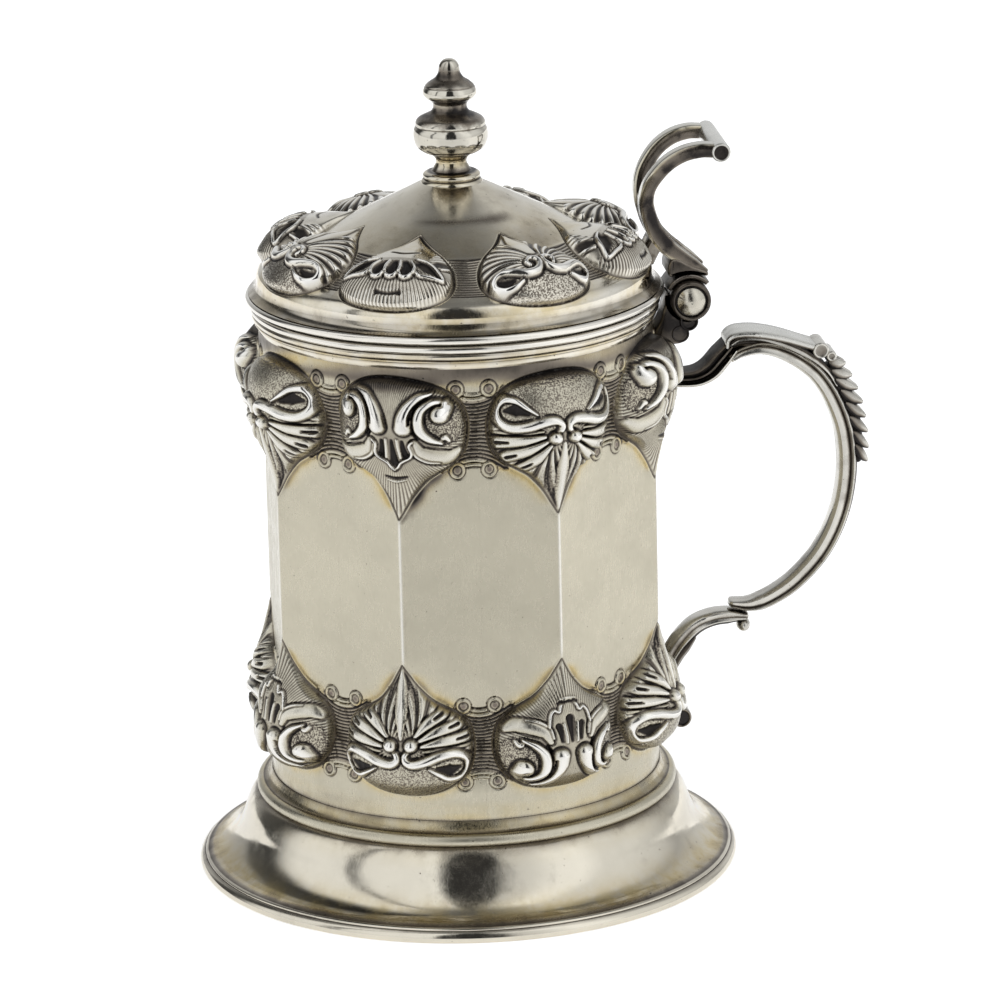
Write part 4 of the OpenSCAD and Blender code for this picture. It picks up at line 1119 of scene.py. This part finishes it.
def build_lower_strut():
    half = [(-1.0, 0, 0.1), (-1.0, 0.5, 0.05), (-0.86, 0.84, 0.0), (-0.6, 0.98, 0.1), (-0.3, 0.98, 0.25),
            (-0.05, 0.86, 0.5), (0.12, 0.92, 0.1), (0.3, 1.0, 0.0), (0.46, 0.92, 0.1), (0.6, 0.66, 0.85),
            (0.82, 0.56, 0.8), (1.0, 0.3, 0.7), (1.0, 0, 0.7)]
    route = [(69.6, 57.2), (66, 57.4), (61.8, 57.1), (57.8, 55.6), (54.6, 52.8), (51.8, 49), (49.9, 44.6),
             (49.1, 40.4), (49.8, 36.6), (51.7, 33.9)]
    strut = sweep("lower_strut", route, mirrored(half), (2.4, 3.9, 4.1, 4.4, 4.6, 4.4, 3.8, 3.4, 3.2, 3.0),
                  (5.6, 6.4, 6.6, 6.6, 6.6, 6.4, 6.2, 6, 6, 6), ends=(0.9, 0.4), **CAST)
    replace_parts(strut, "handle_lower_strut")
    lip = [(1.0, 0, 0.4), (0.7, 0.75, 0.3), (0, 1.0, 0.4), (-1.0, 0.9, 0.8), (-1.0, 0, 0.8)]
    sweep("strut_lip", [(57.0, 52.4), (55.4, 50.2), (53.2, 47.4), (51.6, 44.2), (50.9, 41.4)], mirrored(lip),
          (1.2, 1.9, 2.0, 1.6, 1.2), (4.4, 5.4, 5.6, 5.4, 5), ends=(0.9, 0.9), **CAST)


# ---- thumbpiece and hinge -------------------------------------------------------------------------

def build_thumbpiece():
    where = {"body": LID, "slot": "thumbpiece_silver", "material": dull_silver}
    rail = [(1.0, 0, -0.42), (1.0, 0.5, -0.42), (0.96, 0.78, -0.42), (0.82, 0.90, -0.2, 0.3),
            (0.5, 0.98, 0.2, 0.8), (0, 1.0, 0.38, 0.6), (-0.5, 0.98, 0.48, 0.3), (-0.78, 0.88, 0.25),
            (-0.92, 0.72, -0.2), (-1.0, 0.4, 0.2), (-1.0, 0, 0.3)]
    route = [(60.5, 145.9), (58, 147.5), (55.2, 149.3), (52, 151.7), (49.2, 154.9), (47.2, 159.2),
             (46.2, 163.6), (46.6, 167.4), (48.4, 170.9), (51.2, 174.1), (54.8, 176.3), (58.6, 177.2),
             (61.6, 177.1)]
    thick = (1.4, 3.0, 3.9, 4.2, 4.2, 3.8, 3.6, 3.6, 3.6, 3.6, 3.6, 3.6, 3.5)
    spread = (4.2, 4.4, 4.4, 4.3, 4.2, 4.4, 5.2, 6.4, 7.8, 9.0, 9.9, 10.5, 10.8)
    width = (2.0, 2.2, 2.2, 2.4, 2.8, 3.2, 3.6, 4.0, 4.3, 4.5, 4.6, 4.6, 4.6)
    for name, way in (("thumb_rail_front", -1), ("thumb_rail_back", 1)):
        piece = sweep(name, route, mirrored(rail), thick, width, side=[way * s for s in spread],
                      ends=(0.8, 0), **where)
        if way < 0:
            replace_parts(piece, "thumbpiece")
    web = [(1.0, 0, 0.0), (0.9, 0.97, 0.0), (0, 1.0, 0.5), (-1.0, 0.97, 1.0), (-1.0, 0, 1.0)]
    sweep("thumb_web",
          [(59.8, 145.6), (56.4, 147.2), (53.0, 149.1), (49.9, 151.8), (47.4, 155.6), (45.9, 160.2),
           (45.4, 164.0)], mirrored(web), (1.2, 1.7, 1.8, 1.8, 1.8, 1.6, 1.0),
          (8.2, 8.4, 8.2, 8.2, 8.2, 8.4, 8.6), ends=(0.5, 0.8), **where)
    leg = [(1.0, 0, 0.1), (1.0, 0.8, 0.1), (0.8, 1.0, 0.0), (-0.8, 1.0, 0.1), (-1.0, 0.8, 0.2),
           (-1.0, 0, 0.2)]
    sweep("thumb_leg", [(49.6, 154.6), (47.9, 151.8), (46.5, 148.6)], mirrored(leg), (3.8, 3.4, 3.2),
          (10.8, 10.2, 9.4), **where)
    bar = cross_roll("thumb_crossbar", (63.4, 176.8), 2.35, 13.4, **{**where, "material": pale_silver})
    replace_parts(bar, "thumbpiece_crossbar")


# The pin's [x, z], the barrel round it, and the room left between the lid's knuckle and the bracket.
HINGE_AT = (56.5, 139.2)
BARREL_R = 4.9
KNUCKLE_GAP = 0.35
# The stretches of arc round the pin that the bracket and the saddle follow, in degrees from +X.
BRACKET_ARC = (277, 168)
SADDLE_ARC = (42, 152)


def arc(centre, radius, start, end, count=13):
    turn = np.radians(np.linspace(start, end, count))
    return [(centre[0] + radius * math.cos(a), centre[1] + radius * math.sin(a)) for a in turn]


def build_hinge():
    dark = {"slot": "oxidised_silver", "material": black_silver}
    for name, way, node in (("barrel_front", 1, "body_knuckle_front"),
                            ("barrel_back", -1, "body_knuckle_back")):
        face = [[(1.6, -7.3, 0.3), (3.7, -7.3, 0.4)],
                [(3.7, -7.3, 0.3), (3.9, -7.8, 0), (4.3, -8.0, -0.35), (4.75, -7.7, -0.4),
                 (BARREL_R, -7.0, -0.2)], [(BARREL_R, -7.0, -0.1), (4.75, -6.75, 0.3)],
                [(4.75, -6.75, 0.3), (BARREL_R, -6.5, 0)], [(BARREL_R, -6.5, 0), (BARREL_R, -4.0)],
                [(BARREL_R, -4.0), (4.8, -3.5, -0.1), (4.4, -3.25, 0.2)],
                [(4.4, -3.25, 0.3), (1.6, -3.25, 0.3)], [(1.6, -3.25), (1.6, -7.3)]]
        if way < 0:
            face = flipped(face)
        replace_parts(lathe(name, face, segments=96, across_at=HINGE_AT, body=TANKARD, **dark), node)
    clear = arc(HINGE_AT, BARREL_R + KNUCKLE_GAP, *BRACKET_ARC)
    bracket = [[clear[-1], (50.2, 136.6), (49.4, 133.8), (48.0, 131.4)], [(48.0, 131.4), (48.0, 127.2)],
               [(48.0, 127.2), (51.0, 127.0), (52.6, 127.8)],
               [(52.6, 127.8), (54.4, 128.0), (55.9, 128.8), (56.4, 130.4), (56.2, 131.2)],
               [(56.2, 131.2), (57.6, 131.5), (58.3, 132.2), (58.2, 133.2), clear[0]], clear]
    body = slab("bracket", bracket, 4.2, bevel=0.7, edge_oxide=-0.2, body=TANKARD, **dark)
    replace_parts(body, "hinge_bracket")
    # The upper roll shows only as a stub at each side, because the lid's knuckle turns between them.
    for name, way in (("bracket_roll_high", -1), ("bracket_roll_high_back", 1)):
        stub = [[(0, 3.4, 0.8), (2.35, 3.4, 0.8)], [(2.35, 3.4, 0.2), (2.35, 4.0)],
                [(2.35, 4.0), (2.3, 4.25), (2.05, 4.6), (1.75, 4.5, 0.3)],
                [(1.75, 4.5, 0.3), (1.6, 4.15, 0.8)], [(1.6, 4.15, 0.8), (0, 4.1, 0.8)]]
        if way < 0:
            stub = flipped(stub)
        lathe(name, stub, segments=48, across_at=(56.3, 133.4), body=TANKARD, **dark)
    for name, at, radius, half in (("bracket_roll_middle", (54.2, 130.4), 2.25, 4.4),
                                   ("bracket_roll_low", (51.0, 128.2), 1.9, 3.6)):
        cross_roll(name, at, radius, half, body=TANKARD, **dark)
    tail = [[(47.0, 130.0), (47.0, 121.6)], [(47.0, 121.6), (48.3, 122.4), (50.2, 125.0), (52.4, 127.6)],
            [(52.4, 127.6), (52.0, 130.0)], [(52.0, 130.0), (47.0, 130.0)]]
    slab("bracket_tail", tail, 2.3, bevel=0.6, body=TANKARD, **dark)
    saddle = [[(51.2, 147.2), (51.2, 145.8), (51.8, 144.9)],
              [(51.8, 144.9), (54.2, 145.6), (57.2, 145.7), (60.0, 144.9)],
              [(60.0, 144.9), (60.9, 144.9), (61.0, 145.6), (60.2, 146.3)],
              [(60.2, 146.3), (57.2, 147.5), (54.4, 149.1), (52.4, 149.5)],
              [(52.4, 149.5), (51.6, 148.6), (51.2, 147.2)]]
    top = slab("saddle", saddle, 5.8, bevel=0.7, edge_oxide=-0.25, body=LID, **dark)
    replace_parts(top, "hinge_saddle")
    over, under = arc(HINGE_AT, 6.3, *SADDLE_ARC), arc(HINGE_AT, 5.15, *SADDLE_ARC[::-1])
    band = [over, [over[-1], under[0]], under, [under[-1], over[0]]]
    slab("saddle_band", band, 6.2, bevel=0.45, steps=2, edge_oxide=-0.3, body=LID, **dark)


def build_handle():
    build_strut()
    build_scroll()
    build_rest()
    build_rolls()
    build_leaf()
    build_lower_strut()
    build_thumbpiece()
    build_hinge()


# ---- stage, light and camera ----------------------------------------------------------------------

def rotation_from(columns):
    return Matrix([[c[i] for c in columns] for i in range(3)]).to_4x4()


# The photo's camera, fitted to the ellipses of the foot and the lid: it looks at AIM from DISTANCE, in metres.
VIEW_AZIMUTH, VIEW_ELEVATION, VIEW_ROLL = -5.6, 15.69, -1.435
AIM, DISTANCE = (0, 0, 0.1), 1.3928
LENS, SHIFT = 206.3, (0.0412, -0.0381)


def add_camera():
    azimuth, elevation, roll = (math.radians(a) for a in (VIEW_AZIMUTH, VIEW_ELEVATION, VIEW_ROLL))
    away = Vector((math.sin(azimuth) * math.cos(elevation), -math.cos(azimuth) * math.cos(elevation),
                   math.sin(elevation)))
    right = (-away).cross(Vector((0, 0, 1))).normalized()
    up = right.cross(-away)
    turned_right = right * math.cos(roll) + up * math.sin(roll)
    turned_up = up * math.cos(roll) - right * math.sin(roll)
    camera = bpy.data.objects.new("camera", bpy.data.cameras.new("camera"))
    bpy.context.scene.collection.objects.link(camera)
    camera.matrix_world = (Matrix.Translation(Vector(AIM) + away * DISTANCE)
                           @ rotation_from((turned_right, turned_up, away)))
    camera.data.sensor_width = 36
    camera.data.lens = LENS
    camera.data.shift_x, camera.data.shift_y = SHIFT
    camera.data.clip_end = 20
    bpy.context.scene.camera = camera


# How bright the studio is all round at eye level: [azimuth from +X in degrees, brightness]. Softboxes stand to
# the left and right of a dark gap at the camera, with white boards behind.
ROUND_THE_ROOM = [(-180, 1.15), (-162, 1.15), (-159, 0.3), (-154, 0.35), (-151, 1.1), (-112, 1.25),
                  (-109, 0.04), (-80, 0.04), (-77, 0.85), (-62, 1.05), (-50, 1.35), (-36, 1.35), (-24, 1.05),
                  (0, 1.0), (16, 0.85), (30, 0.55), (44, 0.75), (60, 0.85), (100, 0.80), (112, 0.55),
                  (123, 0.45), (130, 0.12), (146, 0.06), (152, 0.15), (161, 0.9), (170, 1.15), (180, 1.15)]
# How that fades with height, and what is overhead: [sine of the elevation, share of it, overhead brightness].
UP_THE_ROOM = [(-1.0, 0.9, 0.0), (0.05, 0.9, 0.0), (0.14, 1.0, 0.0), (0.95, 1.0, 0.0), (0.985, 0.4, 0.10),
               (1.0, 0.0, 0.16)]
DIM_CEILING = 0.28
FLOOR_GLOW = 0.58


def ramp(tree, value, stops):
    """A colour ramp through [position from 0 to 1, grey]."""
    node = tree.nodes.new("ShaderNodeValToRGB")
    elements = node.color_ramp.elements
    while len(elements) < len(stops):
        elements.new(0.5)
    for element, (position, grey) in zip(elements, stops):
        element.position = position
        element.color = (grey, grey, grey, 1)
    tree.links.new(value, node.inputs[0])
    return node.outputs[0]


def add_world():
    """White to the camera, and the studio to everything else."""
    world = bpy.data.worlds.new("studio")
    bpy.context.scene.world = world
    world.use_nodes = True
    n = Nodes(world)
    axes = n.add("ShaderNodeSeparateXYZ",
                 {"Vector": n.add("ShaderNodeTexCoord").outputs["Generated"]}).outputs
    turn = n.span(n.math("ARCTAN2", axes["Y"], axes["X"]), -math.pi, math.pi, kind="LINEAR")
    height = n.span(axes["Z"], -1, 1, kind="LINEAR")
    around = ramp(n.tree, turn, [((azimuth + 180) / 360, grey / 2) for azimuth, grey in ROUND_THE_ROOM])
    share = ramp(n.tree, height, [((z + 1) / 2, share) for z, share, _ in UP_THE_ROOM])
    overhead = ramp(n.tree, height, [((z + 1) / 2, grey) for z, _, grey in UP_THE_ROOM])
    behind = n.math("MULTIPLY", n.span(axes["Y"], 0.05, 0.25),
                    n.span(axes["Z"], 0.72, 0.93, 0, 1 - DIM_CEILING))
    light = n.math("MULTIPLY", n.math("MULTIPLY", around, share), n.math("SUBTRACT", 1.0, behind))
    light = n.math("ADD", n.math("MULTIPLY", light, 2.0), overhead)
    studio = n.add("ShaderNodeBackground", {"Color": (0.97, 0.985, 1.0, 1), "Strength": light})
    seen = n.add("ShaderNodeBackground", {"Color": (1, 1, 1, 1)})
    mix = n.add("ShaderNodeMixShader", {0: n.add("ShaderNodeLightPath").outputs["Is Camera Ray"],
                                        1: studio.outputs[0], 2: seen.outputs[0]})
    n.add("ShaderNodeOutputWorld", {"Surface": mix.outputs[0]})


def add_floor():
    """A white floor that glows a little, and less in the part that only the front of the body reflects."""
    n = Nodes(bpy.data.materials.new("white floor"))
    place = n.add("ShaderNodeTexCoord").outputs["Object"]
    length = n.add("ShaderNodeVectorMath", {0: place}, operation="LENGTH").outputs["Value"]
    axes = n.add("ShaderNodeSeparateXYZ", {0: n.add("ShaderNodeVectorMath", {0: place},
                                                    operation="NORMALIZE").outputs[0]}).outputs
    front = n.span(axes["Y"], -0.55, -0.85, 0, -0.30)
    right = n.span(axes["X"], 0.3, 0.9, 0, 0.22)
    share = n.math("MULTIPLY", n.math("ADD", front, right), n.span(length, 0.16, 0.24))
    glow = n.math("MULTIPLY", n.math("ADD", share, 1.0), FLOOR_GLOW)
    shader = n.add("ShaderNodeBsdfPrincipled", {"Base Color": (0.9, 0.9, 0.9, 1), "Roughness": 0.8,
                                                "Emission Color": (1, 1, 1, 1), "Emission Strength": glow})
    n.add("ShaderNodeOutputMaterial", {"Surface": shader.outputs[0]})
    mesh = bpy.data.meshes.new("floor")
    half = 4.0
    mesh.from_pydata([(-half, -half, 0), (half, -half, 0), (half, half, 0), (-half, half, 0)], [],
                     [(0, 1, 2, 3)])
    mesh.materials.append(n.owner)
    floor = bpy.data.objects.new("floor", mesh)
    bpy.context.scene.collection.objects.link(floor)


def build_stage():
    scene = bpy.context.scene
    scene.view_settings.view_transform = "Standard"
    scene.view_settings.look = "None"
    add_world()
    add_floor()
    add_camera()


# ---- put it together ------------------------------------------------------------------------------

NODE_MATERIALS = {
    "body_floor": satin_silver, "lid_bezel": satin_silver, "finial_washer": satin_silver,
    "finial_nut": satin_silver, "hinge_pin": worn_silver, "pin_cap_front": worn_silver,
    "pin_cap_back": worn_silver, "lid_knuckle": black_silver,
}


def dress_nodes():
    for name, material in NODE_MATERIALS.items():
        slots = nodes[name].data.materials
        if slots:
            for i in range(len(slots)):
                slots[i] = material
        else:
            slots.append(material)


build_stage()
build_shells()
build_foot()
build_rim()
build_lid_bead()
build_finial()
build_handle()
dress_nodes()
